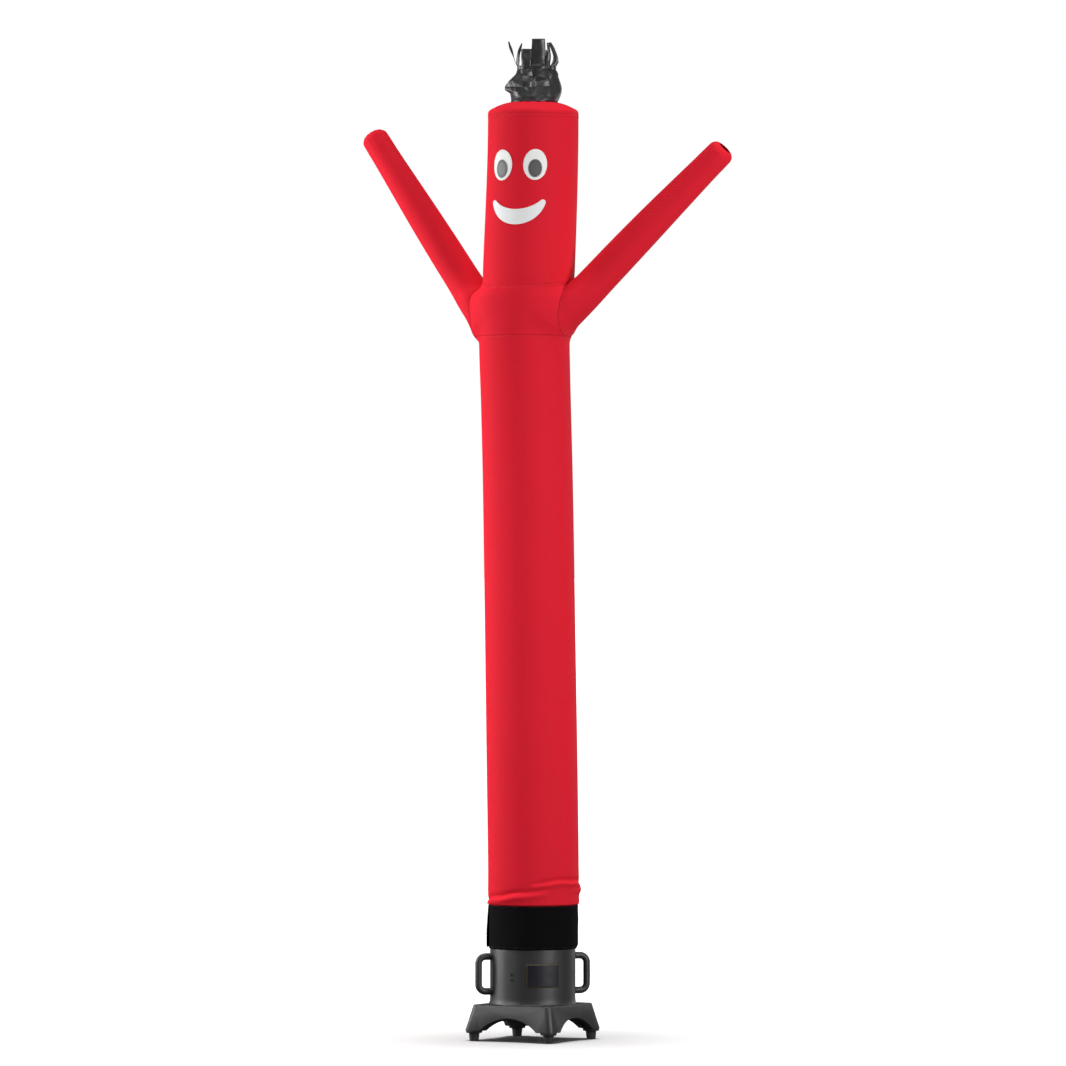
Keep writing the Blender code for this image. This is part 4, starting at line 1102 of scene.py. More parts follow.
class DancerColours(bpy.types.PropertyGroup):
    """Colours of the set."""

    tube: colour_property("Nylon", "The figure's cloth", (0.64, 0.0155, 0.03))
    hair: colour_property("Hair", "The cuff and the strips", (0.022, 0.022, 0.023))
    eyes: colour_property("Eyes", "The whites of the eyes", (0.8, 0.805, 0.79))
    mouth: colour_property("Mouth", "The crescent mouth", (0.76, 0.765, 0.77))
    pupils: colour_property("Left Pupil", "The pupil on the left", (0.165, 0.175, 0.168))
    # The right pupil is the same grey cloth as the left; its darker colour is painted shade.
    dark_pupils: colour_property("Right Pupil", "The pupil on the right", (0.082, 0.086, 0.083))
    pupil_rims: colour_property("Pupil Rims", "The edge of the pupils", (0.052, 0.055, 0.053))
    collar: colour_property("Collar", "The hook-and-loop band", (0.003, 0.003, 0.0037))
    shell: colour_property("Shell", "The blower's moulded plastic", (0.0155, 0.0155, 0.0161))
    rubber: colour_property("Rubber", "The feet and the gland", (0.016, 0.016, 0.017))
    plate: colour_property("Plate", "The bare plate", (0.006, 0.006, 0.012))
    screws: colour_property("Screws", "The blackened screws", (0.018, 0.018, 0.019))
    tube_thread: colour_property("Red Thread", "The figure's thread", (0.55, 0.0133, 0.0258))
    dark_thread: colour_property("Dark Thread", "The collar's thread", (0.014, 0.014, 0.015))
    pale_thread: colour_property("Pale Thread", "The face's thread", (0.72, 0.72, 0.71))
    plate_border: colour_property("Plate Border", "The plate's border line", (0.11, 0.08, 0.015))


class DancerStudio(bpy.types.PropertyGroup):
    """The studio's lights and camera."""

    lens: FloatProperty(
        name="Lens", description="Focal length of the camera", default=249.9, unit="CAMERA"
    )
    distance: length_property("Camera Distance", "Distance from the duct's axis", 26.3)
    camera_height: length_property("Camera Height", "Height of the camera", 1.74)
    camera_turn: FloatProperty(
        name="Camera Turn",
        description="How far round the camera stands from the front",
        default=math.radians(19.0),
        subtype="ANGLE",
        unit="ROTATION",
    )
    surround: FloatProperty(
        name="Surround", description="Brightness of the grey surround", default=0.18, min=0.0
    )


# ------ the tube and the shoulder


def body_points(cloth):
    """The long tube from its sleeve to the shoulder seam."""
    sleeve = np.array((SLEEVE_Z, 0.38, 0.42, 0.455, 0.47, 0.477, 0.479, 0.4803, HEM_TOP))
    bulge = np.array((0.4819, 0.4824, 0.4832, 0.4845, 0.486, 0.4878))
    gathered = np.linspace(0.4896, 0.62, 66)
    above = heights_to_seam(0.63, SHOULDER_SEAM_Z, 0.04)
    z = np.concatenate((sleeve, bulge, gathered, above))[:, None]
    turn = ring_turns(cloth.columns)[None, :]
    visible = smooth_step((z - HEM_TOP) / 0.004)
    out = visible * (hem_folds(turn, z) + hem_pleats(turn, z)) + visible * slack(turn, z)
    off = SHOULDER_SEAM_Z - z
    fade = 1.0 - smooth_step((0.002 - off) / 0.002)
    out = out * fade + seam_band(off, cloth.band_width, cloth.band_proud)
    out = out + gathers(turn, off - 0.0115, 33.0, 0.6 * cloth.gather_depth, 0.02) * fade
    return flowing(skin(turn, z, out))


def seam_lines(height, cloth):
    """Two rows of sewing below a seam whose height is given round the tube."""
    turn = ring_turns(240)
    out = cloth.band_proud + THREAD_LIFT
    return [(flowing(skin(turn, height(turn) - drop, out)), True) for drop in SEWN_ROWS]


class DANCER_OT_body(bpy.types.Operator):
    """Make the long nylon tube with its gathered hem and shoulder seam"""

    bl_idname = "dancer.body"
    bl_label = "Body Tube"

    def execute(self, context):
        cloth = context.scene.dancer_cloth
        mesh = grid_mesh("body_cloth", body_points(cloth), True)
        lines = seam_lines(lambda turn: 0.0 * turn + SHOULDER_SEAM_Z, cloth)
        red_panel("body", mesh, "body_tube", lines, "blower_housing", flat=(1.012, 2.152))
        return {"FINISHED"}


def arm_frame(name):
    """The root, the direction, the sideways and the upward axes, and the length of an arm."""
    angle, root_z, reach, rise, bow = ARMS[name]
    turn = math.radians(angle)
    run = np.array((math.cos(turn) * reach, math.sin(turn) * reach, rise))
    length = float(np.linalg.norm(run))
    along = run / length
    across = np.array((-math.sin(turn), math.cos(turn), 0.0))
    return skin(turn, root_z), along, across, np.cross(along, across), length, bow


def arm_radius(length):
    """The arm's radius along its length, drawn in at the end."""
    keys = [share * length for share, _ in ARM_TAPER] + [length + far for far, _ in ARM_END]
    sizes = [radius for _, radius in ARM_TAPER] + [radius for _, radius in ARM_END]
    return curve_through(keys, sizes)


def root_width(reach):
    """How much wider than round an arm is, by the distance from its root."""
    return 1.0 + ROOT_WIDEN * smooth_step(1.0 - np.clip(reach, 0.0, None) / ROOT_WIDEN_LENGTH)


def arm_surface(name, spoke, distance, out=0.0):
    """Points of an arm, by the angle round it and the distance along it."""
    root, along, across, over, length, bow = arm_frame(name)
    spoke, distance = np.broadcast_arrays(spoke, distance)
    middle = root + along * distance[..., None]
    share = np.clip(distance / length, 0.0, 1.0)
    middle = middle + over * (bow * np.sin(math.pi * share))[..., None]
    radius = arm_radius(length)(distance) + out
    sideways = across * (root_width(distance) * np.cos(spoke) * radius)[..., None]
    return middle + sideways + over * (np.sin(spoke) * radius)[..., None]


def arm_starts(name, spoke):
    """Where each line along the arm leaves the tube, found by halving."""
    length = arm_frame(name)[4]
    inside = np.full(spoke.shape, -0.16 * length)
    outside = np.full(spoke.shape, 0.28 * length)
    for _ in range(40):
        middle = 0.5 * (inside + outside)
        over = past_tube(arm_surface(name, spoke, middle))[1] - GAP
        inside = np.where(over < 0.0, middle, inside)
        outside = np.where(over < 0.0, outside, middle)
    return outside


def root_distance(name, points):
    """How far points of the tube lie outside the loop where an arm joins."""
    loop = arm_surface(name, ring_turns(72), arm_starts(name, ring_turns(72)))
    off = np.linalg.norm(points[:, :, None] - loop, axis=3).min(axis=2)
    root, along, across, over, length, _ = arm_frame(name)
    local = points - root
    reach = local @ along
    wide = (local @ across) / (1.0 + ROOT_WIDEN)
    radius = arm_radius(length)(reach)
    inner = (np.hypot(wide, local @ over) < radius) & (np.abs(reach) < 0.3)
    return np.where(inner, -off, off)


def root_flow(name, points):
    """How far the cloth moves so that an arm and the tube flow into each other."""
    root, along, across, over, length, bow = arm_frame(name)
    local = points - root
    reach = local @ along
    wide = local @ across / root_width(reach)
    rise = local @ over - bow * np.sin(math.pi * np.clip(reach / length, 0.0, 1.0))
    spoke = np.arctan2(rise, wide)
    off_arm = np.clip(np.hypot(rise, wide) - arm_radius(length)(reach), 0.0, None)
    turn, off_tube = past_tube(points)
    off_tube = np.clip(off_tube, 0.0, None)
    soft = ROOT_FLOW[0] + (ROOT_FLOW[1] - ROOT_FLOW[0]) * np.cos(spoke) ** 2
    share = np.clip(1.0 - np.abs(off_arm - off_tube) / soft, 0.0, 1.0)
    lift = 0.25 * soft * share**2 * smooth_step((reach + 0.12) / 0.05)
    by_tube = np.where(off_tube > off_arm, 0.5 * share, 1.0 - 0.5 * share)[..., None]
    from_arm = across * np.cos(spoke)[..., None] + over * np.sin(spoke)[..., None]
    way = around(0.0, 1.0, turn, 0.0) * by_tube + from_arm * (1.0 - by_tube)
    return unit(way) * lift[..., None]


def flowing(points):
    """Points on the cloth near the shoulder, drawn out towards both arms."""
    for name in ARMS:
        points = points + root_flow(name, points)
    return points


def shoulder_points(cloth):
    """The shoulder between its two seams, gathered round the arms."""
    turn = ring_turns(cloth.columns)[None, :]
    low, top = SHOULDER_SEAM_Z + GAP, neck_height(turn)
    rows = heights_to_seam(low, NECK_SEAM_Z, 0.0045)
    share = (rows - rows[0]) / (rows[-1] - rows[0])
    lift = np.clip((share[:, None] - 0.55) / 0.45, 0.0, 1.0)
    z = rows[:, None] + (top - NECK_SEAM_Z) * lift
    off = top - z
    start = z - low
    out = slack(turn, z) * smooth_step(start / 0.004) * smooth_step(off / 0.004)
    out = out + seam_band(off, cloth.band_width, cloth.band_proud)
    pulled = gathers(turn, off - 0.012, 29.0, cloth.gather_depth, 0.016)
    pulled = pulled + gathers(turn + 0.4, start, 33.0, 0.5 * cloth.gather_depth, 0.014)
    out = out + pulled * smooth_step(off / 0.002) * smooth_step(start / 0.002)
    points = skin(turn, z, out)
    openings = []
    for name in ARMS:
        away = root_distance(name, points)
        ripple = 0.5 + 0.5 * np.sin(26.0 * turn + 60.0 * z)
        pull = 0.0004 * (0.5 + ripple) * np.exp(-np.clip(away, 0.0, None) / 0.012)
        points = points - around(0.0, pull, turn, 0.0)
        openings.append(away)
    return flowing(points), openings


def open_cells(openings):
    """The cells of a closed grid that stay when the arms' mouths are cut out."""
    rows, columns = openings[0].shape
    keep = np.ones((rows - 1, columns), bool)
    for away in openings:
        deep = away < -MOUTH_CLEAR
        deep = deep & np.roll(deep, -1, axis=1)
        keep &= ~(deep[:-1] & deep[1:])
    return keep


class DANCER_OT_shoulder(bpy.types.Operator):
    """Make the shoulder panel with its neck seam and the mouths of the arms"""

    bl_idname = "dancer.shoulder"
    bl_label = "Shoulder"

    def execute(self, context):
        cloth = context.scene.dancer_cloth
        points, openings = shoulder_points(cloth)
        mesh = grid_mesh("shoulder_cloth", points, True, open_cells(openings))
        with edited(mesh) as bm:
            bmesh.ops.delete(bm, geom=[v for v in bm.verts if not v.link_faces], context="VERTS")
        sizes = {"flat": (1.045, 0.183), "area": 0.165}
        lines = seam_lines(neck_height, cloth)
        red_panel("shoulder", mesh, "shoulder_yoke", lines, "body_tube", **sizes)
        return {"FINISHED"}


# ------ the arms


def sewn_arm(name, spoke, distance, out):
    """Points of an arm as it flows out of the shoulder."""
    points = arm_surface(name, spoke, distance, out)
    return points + root_flow(name, points)


def arm_points(name, cloth):
    """One arm, trimmed to the shoulder and gathered at its open end."""
    length = arm_frame(name)[4]
    spoke = ring_turns(ARM_COLUMNS)[None, :]
    start = arm_starts(name, spoke)
    root = np.array(
        (0.0, 0.0006, 0.0013, 0.0035, 0.006, 0.0082, 0.0094, 0.0104, 0.0112, 0.0124, 0.0145)
    )
    near = np.concatenate((root, np.linspace(0.019, ARM_ROOT, 24)))
    distance = near[:, None] + start * np.clip(1.0 - near / ARM_ROOT, 0.0, 1.0)[:, None] ** 2
    middle = np.linspace(ARM_ROOT, length - 0.04, 34)[1:, None] + 0.0 * spoke
    edge = (-0.03, -0.022, -0.015, -0.009, -0.004, 0.0, 0.003, 0.006, 0.009, 0.0115)
    edge += (0.0135, 0.0155, 0.017, 0.0187, 0.0203, 0.0217, 0.0227, 0.0234, 0.024)
    last = length + np.array(edge)[:, None] + 0.0 * spoke
    distance = np.concatenate((distance, middle, last))
    off = np.concatenate((near, np.full(len(distance) - len(near), ARM_ROOT)))[:, None]
    out = seam_band(off, cloth.band_width, cloth.band_proud)
    fade = smooth_step(off / 0.0018)
    out = out + gathers(spoke, off - 0.0115, 15.0, cloth.gather_depth, 0.022) * fade
    out = out + 0.0005 * np.sin(2.0 * spoke + 9.0 * distance) * smooth_step(off / 0.04)
    drawn = smooth_step((distance - length + 0.05) / 0.07)
    count, depth = ARM_PLEATS
    pleat = np.cos(count * spoke + 0.9 * np.sin(2.0 * spoke)) * (0.75 + 0.25 * np.sin(3.0 * spoke))
    out = out + depth * drawn * pleat * (1.0 - 0.35 * drawn)
    return sewn_arm(name, spoke, distance, out)


class DANCER_OT_arms(bpy.types.Operator):
    """Make both raised arms with their sewn roots and drawn-in, open ends"""

    bl_idname = "dancer.arms"
    bl_label = "Arms"

    def execute(self, context):
        cloth = context.scene.dancer_cloth
        out = cloth.band_proud + THREAD_LIFT
        spoke = ring_turns(120)
        for name in ARMS:
            mesh = grid_mesh(name + "_cloth", arm_points(name, cloth), True)
            starts = arm_starts(name, spoke)
            lines = [(sewn_arm(name, spoke, starts + off, out), True) for off in ARM_SEWN_ROWS]
            hem = arm_frame(name)[4] - ARM_HEM + 0.0 * spoke
            lines.append((arm_surface(name, spoke, hem, 0.0006), True))
            sizes = {"flat": (0.42, 0.8), "area": 0.285}
            red_panel(name, mesh, name, lines, "shoulder_yoke", **sizes)
        return {"FINISHED"}


# ------ the head and the face


def head_points(cloth):
    """The head's side between the neck seam and its top seam."""
    turn = ring_turns(cloth.columns)[None, :]
    low = neck_height(turn) + GAP
    near = np.array((0.0, 0.0012, 0.003, 0.006, 0.01, 0.015, 0.021, 0.028, 0.036))
    rows = heights_to_seam(NECK_SEAM_Z + 0.045, HEAD_SEAM_Z, 0.013)
    share = smooth_step((rows - rows[0]) / 0.12)[:, None]
    upper = rows[:, None] + (low - NECK_SEAM_Z - GAP) * (1.0 - share)
    z = np.concatenate((low + near[:, None], upper))
    start, off = z - low, HEAD_SEAM_Z - z
    calm = smooth_step(start / 0.004) * smooth_step(off / 0.004)
    out = 0.8 * slack(turn, z) * calm
    out = out + seam_band(off, cloth.band_width, cloth.band_proud)
    pulled = gathers(turn + 0.9, start, 29.0, 0.9 * cloth.gather_depth, 0.017)
    pulled = pulled + gathers(turn, off - 0.012, 35.0, 0.7 * cloth.gather_depth, 0.016)
    out = out + pulled * smooth_step(start / 0.0025) * smooth_step(off / 0.002)
    return flowing(skin(turn, z, out))


def top_points(cloth):
    """The domed panel from the head's seam to the vent under the hair."""
    radii, heights = (np.array(column) for column in zip(*TOP_PANEL))
    length = np.concatenate(((0.0,), np.cumsum(np.hypot(np.diff(radii), np.diff(heights)))))
    edge = np.linspace(0.0, 0.03, 14)
    rows = np.concatenate((edge, np.linspace(0.034, length[-1], 26)))
    radius = curve_through(length, radii)(rows)[:, None]
    height = curve_through(length, heights)(rows)[:, None]
    turn = ring_turns(cloth.columns)[None, :]
    wave = gathers(turn + 0.3, rows[:, None] - 0.004, 35.0, 0.9 * cloth.gather_depth, 0.02)
    wave = wave * smooth_step(rows[:, None] / 0.004)
    drawn = smooth_step((rows[:, None] - 0.055) / 0.045)
    wave = wave - 0.001 * drawn * (1.0 + np.sin(17.0 * turn + 1.2 * np.sin(3.0 * turn)))
    return around(HEAD_AXIS[0], radius + 0.2 * wave, turn, height + 0.8 * wave)


class DANCER_OT_head(bpy.types.Operator):
    """Make the head's side and its domed top panel"""

    bl_idname = "dancer.head"
    bl_label = "Head"

    def execute(self, context):
        cloth = context.scene.dancer_cloth
        mesh = grid_mesh("head_cloth", head_points(cloth), True)
        lines = seam_lines(lambda turn: 0.0 * turn + HEAD_SEAM_Z, cloth)
        red_panel("head", mesh, "head_tube", lines, "shoulder_yoke", flat=(1.026, 0.603))
        points = top_points(cloth)
        mesh = grid_mesh("crown_cloth", points, True)
        top = cloth_piece("crown_cloth", mesh, finish_of("red_nylon"), cloth.thickness)
        dress(top, "red_nylon", "head_top")
        return {"FINISHED"}


def face_point(arc, z, out):
    """Points on the head by arc length from the middle of the face."""
    turn = -0.5 * math.pi + arc / HEAD_RADIUS
    return skin(turn, z, out + 0.8 * slack(turn, z))


def oval_mesh(name, centre, size, out):
    """An oval patch of cloth laid on the head, from its middle to its edge."""
    z, half_width, half_height = size
    turn = ring_turns(OVAL_COLUMNS)[None, :]
    share = np.concatenate(((0.02,), np.linspace(0.12, 0.86, 8), (0.91, 0.945, 0.97, 0.988, 1.0)))
    share = share[::-1][:, None]
    arc = centre + half_width * share * np.cos(turn)
    height = z + half_height * share * np.sin(turn)
    free = 1.0 - smooth_step((share - 0.93) / 0.05)
    mesh = grid_mesh(name, face_point(arc, height, out + FACE_DROP * free), True)
    with edited(mesh) as bm:
        bm.faces.new(bm.verts[-OVAL_COLUMNS:])
        bm.normal_update()
    lay_map(mesh, arc - centre, height - z)
    edge = mesh.attributes.new("from_edge", "FLOAT", "POINT")
    edge.data.foreach_set("value", (1.0 - share + 0.0 * turn).ravel())
    return mesh


def smile_edges(count):
    """Places across the mouth, and its lower and upper edge; round tips touch both edges."""
    low_z, low_radius = SMILE_LOW
    high_z, high_radius = SMILE_HIGH
    low_middle, high_middle = low_z + low_radius, high_z + high_radius
    near, far = low_radius - SMILE_TIP, high_radius + SMILE_TIP
    tip_z = 0.5 * (low_middle + high_middle)
    tip_z -= 0.5 * (far**2 - near**2) / (high_middle - low_middle)
    tip_reach = math.sqrt(near**2 - (tip_z - low_middle) ** 2)
    x = -(tip_reach + SMILE_TIP * 0.998) * np.cos(np.linspace(0.0, math.pi, count))
    half = np.sqrt(np.clip(SMILE_TIP**2 - (np.abs(x) - tip_reach) ** 2, 0.0, None))
    low = low_middle - np.sqrt(low_radius**2 - x**2)
    high = high_middle - np.sqrt(high_radius**2 - x**2)
    low = np.where(np.abs(x) > low_radius * tip_reach / near, tip_z - half, low)
    high = np.where(np.abs(x) > high_radius * tip_reach / far, tip_z + half, high)
    return x, low, high


def smile_mesh(name, out):
    """The crescent mouth with its rounded tips."""
    x, low, high = smile_edges(121)
    share = np.array((0.0, 0.03, 0.07, 0.13, 0.25, 0.38, 0.5, 0.62, 0.75, 0.87, 0.93, 0.97, 1.0))
    z = low + (high - low) * share[:, None]
    hem = smooth_step((np.minimum(share, 1.0 - share) - 0.05) / 0.06)[:, None]
    arc = np.broadcast_to(x, z.shape)
    points = face_point(arc, z, out + FACE_DROP * (1.0 - hem))
    return grid_mesh(name, points, False), points, arc, z


class DANCER_OT_face(bpy.types.Operator):
    """Make the sewn-on eyes, pupils and mouth"""

    bl_idname = "dancer.face"
    bl_label = "Face"

    def execute(self, context):
        wall = context.scene.dancer_cloth.face_thickness
        over = GAP + wall + GAP
        rows = []
        # The right pupil gets a darker copy of the grey cloth: painted shade.
        for side, sign, grey in (("left", -1.0, "grey_cloth"), ("right", 1.0, "dark_grey_cloth")):
            centre = sign * EYE_TURN * HEAD_RADIUS
            plan = (
                ("eye_", EYE, GAP, "white_cloth", "head_tube"),
                ("pupil_", PUPIL, over, grey, "eye_" + side),
            )
            for kind, size, out, finish, below in plan:
                name = kind + side
                mesh = oval_mesh(name + "_cloth", centre, size, out)
                item = cloth_piece(name + "_cloth", mesh, finish_of(finish), wall, 1.0)
                dress(item, "grey_cloth" if kind == "pupil_" else "white_cloth", name)
                turn = ring_turns(160)
                arc = centre + (size[1] - FACE_HEM) * np.cos(turn)
                z = size[0] + (size[2] - FACE_HEM) * np.sin(turn)
                rows.append((face_point(arc, z, out + wall + THREAD_LIFT), True))
        mesh, points, arc, z = smile_mesh("smile_cloth", GAP)
        item = cloth_piece("smile_cloth", mesh, finish_of("mouth_cloth"), wall, 1.0)
        dress(item, "white_cloth", "smile")
        for row in (2, -3):
            line = face_point(arc[row], z[row], GAP + wall + THREAD_LIFT)
            rows.append((line[4:-4], False))
        sewing = stitch_lines("face_stitches", rows, "white_thread", length=FACE_STITCH)
        dress(sewing, "white_cloth")
        return {"FINISHED"}


# ------ the hair


CUFF_Z, CUFF_WIDTHS, CUFF_DEPTHS, CUFF_SHIFTS = zip(*CUFF)
cuff_width = curve_through(CUFF_Z, CUFF_WIDTHS)
cuff_depth = curve_through(CUFF_Z, CUFF_DEPTHS)
cuff_shift = curve_through(CUFF_Z, CUFF_SHIFTS)
cuff_crumple = curve_through(CUFF_Z, np.linspace(0.0, CUFF_CRUMPLE, len(CUFF)))
HAIR_SIDE = np.array((math.cos(HAIR_TURN), math.sin(HAIR_TURN), 0.0))
HAIR_FRONT = np.array((math.sin(HAIR_TURN), -math.cos(HAIR_TURN), 0.0))


def hair_ring(turn, z, row_z=None, folds_in=0.0):
    """Points on the hair's oval ring; row_z fixes the size and the folds to one height."""
    turn, z = np.broadcast_arrays(turn, z)
    level = z if row_z is None else np.full(z.shape, row_z)
    folds = 0.6 * np.sin(5.0 * turn + 0.7) + 0.4 * np.sin(8.0 * turn + 40.0 * z)
    scale = 1.0 + cuff_crumple(level) * folds
    spike_turn, spike_z, reach, half_turn, up, down = CUFF_SPIKE
    sides = 1.0 - np.abs(apart(turn, spike_turn)) / half_turn
    ends = 1.0 - np.abs(z - spike_z) / np.where(z > spike_z, up, down)
    spike = reach * np.clip(np.minimum(sides, ends), 0.0, None)
    width = cuff_shift(level) + (cuff_width(level) * scale + spike + folds_in) * np.cos(turn)
    depth = (cuff_depth(level) * scale + folds_in) * np.sin(turn)
    points = HEAD_AXIS + HAIR_SIDE * width[..., None] - HAIR_FRONT * depth[..., None]
    points[..., 2] = z
    return points


def cuff_folds(turn, z):
    """The crumpled cuff's flat faces: straight between the depths of CUFF_FOLDS."""
    degrees, heights = (np.array(place, dtype=float) for place in (CUFF_FOLD_TURNS, CUFF_FOLD_Z))
    depths = np.array(CUFF_FOLDS, dtype=float)
    z = z + 0.0025 * np.sin(3.0 * turn + 1.0)
    bearing = np.degrees(turn) + 120.0 * (z - 3.385) * np.sin(2.0 * turn)
    bearing = (bearing - degrees[0]) % 360.0
    across = np.interp(bearing, degrees - degrees[0], np.arange(len(degrees)))
    up = np.interp(z, heights, np.arange(len(heights)))
    column = np.minimum(across.astype(int), len(degrees) - 2)
    row = np.minimum(up.astype(int), len(heights) - 2)
    u, v = across - column, up - row
    low, high = depths[row, column], depths[row + 1, column]
    low_next, high_next = depths[row, column + 1], depths[row + 1, column + 1]
    under = u * (low_next - low) + v * (high_next - low_next)
    above = v * (high - low) + u * (high_next - high)
    rising = low + np.where(u > v, under, above)
    near = low + u * (low_next - low) + v * (high - low)
    far = high_next + (1.0 - u) * (high - high_next) + (1.0 - v) * (low_next - high_next)
    falling = np.where(u + v < 1.0, near, far)
    return -CUFF_FOLD_UNIT * np.where((row + column) % 2 == 0, rising, falling)


class DANCER_OT_hair(bpy.types.Operator):
    """Make the crumpled cuff and the cut strips that stand up from it"""

    bl_idname = "dancer.hair"
    bl_label = "Hair"

    def execute(self, context):
        cloth = context.scene.dancer_cloth
        finish = finish_of("black_nylon")
        rows = np.concatenate(
            ((3.3312, 3.3318, 3.3326, 3.3345, 3.3358), np.linspace(3.338, 3.446, 80))
        )[:, None]
        turn = ring_turns(CUFF_COLUMNS)[None, :]
        band = 0.001 * (1.0 - smooth_step((rows - 3.3345) / 0.0013))
        points = hair_ring(turn, rows, folds_in=cuff_folds(turn, rows) + band)
        mesh = grid_mesh("cuff_cloth", points, True)
        cuff = cloth_piece("cuff_cloth", mesh, finish, cloth.thickness, sharp=40.0)
        dress(cuff, "black_nylon", "hair_cuff")
        strips, area = self.strips(finish)
        flat = (0.48, 0.115)
        area = min(area, flat[0] * flat[1])
        return {"FINISHED"}

    def strips(self, finish):
        """The ring and its strips as one sheet."""
        top_row = CUFF[-1][0]
        ring_z = np.array((top_row + GAP, 3.4505, 3.4545, STRIP_ROOT_Z))[:, None]
        turn = ring_turns(COLUMN_FACES * HAIR_COLUMNS)[None, :]
        ring = hair_ring(turn, ring_z, row_z=top_row)
        grids = [(ring, True)]
        for number, strip in enumerate(STRIPS):
            grids.append((self.strip(number, strip, ring[-1]), False))
        mesh = bpy.data.meshes.new("strip_cloth")
        with edited(mesh) as bm:
            for points, wrap in grids:
                part = grid_mesh("strip", points, wrap)
                bm.from_mesh(part)
                bpy.data.meshes.remove(part)
            bmesh.ops.remove_doubles(bm, verts=bm.verts, dist=0.00002)
        item = cloth_piece("strip_cloth", mesh, finish, STRIP_THICKNESS, sharp=60.0)
        dress(item, "black_nylon", "hair_strips")
        return item, sum(sheet_area(*grid) for grid in grids)

    def strip(self, number, strip, ring_top):
        """One strip, curling a little along its length and across its width."""
        column, span, top, side, front, bow_side, bow_front, tip, swell, twist = strip
        picks = np.arange(COLUMN_FACES * span + 1) + COLUMN_FACES * column
        picks = picks % len(ring_top)
        roots = ring_top[picks]
        middle = roots.mean(axis=0)
        share = np.linspace(0.0, 1.0, 26)[:, None, None]
        bow = np.sin(math.pi * share**0.65)
        now = middle + HAIR_SIDE * (side * share + bow_side * bow)
        now = now + HAIR_FRONT * (front * share + bow_front * bow)
        now[..., 2] += (top - middle[2]) * share[..., 0]
        width = 1.0 + (tip - 1.0) * share + swell * bow
        across = (roots - middle) * width
        spin = math.radians(twist) * smooth_step(share / 0.7)
        turned = np.stack((-across[..., 1], across[..., 0], across[..., 2]), axis=-1)
        points = now + across * np.cos(spin) + turned * np.sin(spin)
        over = np.linspace(-1.0, 1.0, len(picks))[None, :, None]
        free = smooth_step(share / 0.25)
        curl = 0.0022 * (over**2 - 0.4) * math.cos(2.1 * number + 0.4)
        ripple = 0.0011 * np.sin(9.0 * share + 2.3 * number + 1.2 * over)
        outwards = unit((middle - HEAD_AXIS) * (1.0, 1.0, 0.0))
        return points + outwards * (free * (curl + ripple))


# ------ the collar


def collar_points():
    """The band wound round the sleeve, its outer end lifted off."""
    z_rows, radii, slacks, lifts = (np.array(column) for column in zip(*COLLAR))
    z = np.concatenate(
        (
            (COLLAR_LOW, 0.3272, 0.3284, 0.333, 0.3345, 0.3356),
            np.linspace(0.34, 0.468, 20),
            (0.471, 0.4722, 0.4735, 0.4774, 0.4784, COLLAR_TOP),
        )
    )[:, None]
    first, last = COLLAR_TURNS
    degrees = np.arange(first, last + 0.1, COLLAR_COLUMN)[None, :]
    turn = np.radians(degrees)
    below, above = COLLAR_CLIMB
    layer = np.clip((degrees - below) / (above - below), 0.0, 1.0)
    flap = np.clip(1.0 - (last - degrees) / COLLAR_FLAP_TURN, 0.0, 1.0) ** 1.5
    radius = curve_through(z_rows, radii)(z)
    radius = radius + curve_through(z_rows, slacks)(z) * np.cos(turn - HAIR_TURN)
    radius = radius + COLLAR_LAYER * layer + COLLAR_FLAP * flap * curve_through(z_rows, lifts)(z)
    edge = np.minimum(z - COLLAR_LOW, COLLAR_TOP - z)
    hem = 0.0005 * (1.0 - smooth_step((edge - 0.0068) / 0.0016)) * smooth_step(edge / 0.0008)
    lone = 1.0 - smooth_step((degrees - below) / 25.0)
    dent = 0.0007 * np.sin(5.0 * turn + 30.0 * z) * np.sin(3.0 * turn - 44.0 * z + 1.0)
    radius = radius + hem + np.clip(dent, 0.0, None) * lone * smooth_step((edge - 0.01) / 0.02)
    lift = 0.004 * layer * np.clip((0.342 - z) / 0.0155, 0.0, 1.0)
    return around(AXIS[0], radius, turn, z + lift)


class DANCER_OT_collar(bpy.types.Operator):
    """Make the hook-and-loop collar with its hems, sewing and loose end"""

    bl_idname = "dancer.collar"
    bl_label = "Collar"

    def execute(self, context):
        cloth = context.scene.dancer_cloth
        points = collar_points()
        mesh = grid_mesh("collar_cloth", points, False)
        wall = cloth.collar_thickness
        item = cloth_piece("collar_cloth", mesh, finish_of("collar_fabric"), wall, 1.0)
        dress(item, "collar_fabric", "collar_band")
        rows = [points[3, 2:-2], points[-3, 2:-2], points[4:-4, -3], points[4:-4, -6]]
        lines = []
        for line in rows:
            out = unit((line - AXIS) * (1.0, 1.0, 0.0))
            lines.append((line + out * (wall + THREAD_LIFT), False))
        sewing = dress(stitch_lines("collar_stitches", lines, "black_thread"), "collar_fabric")
        return {"FINISHED"}


# ------ the blower


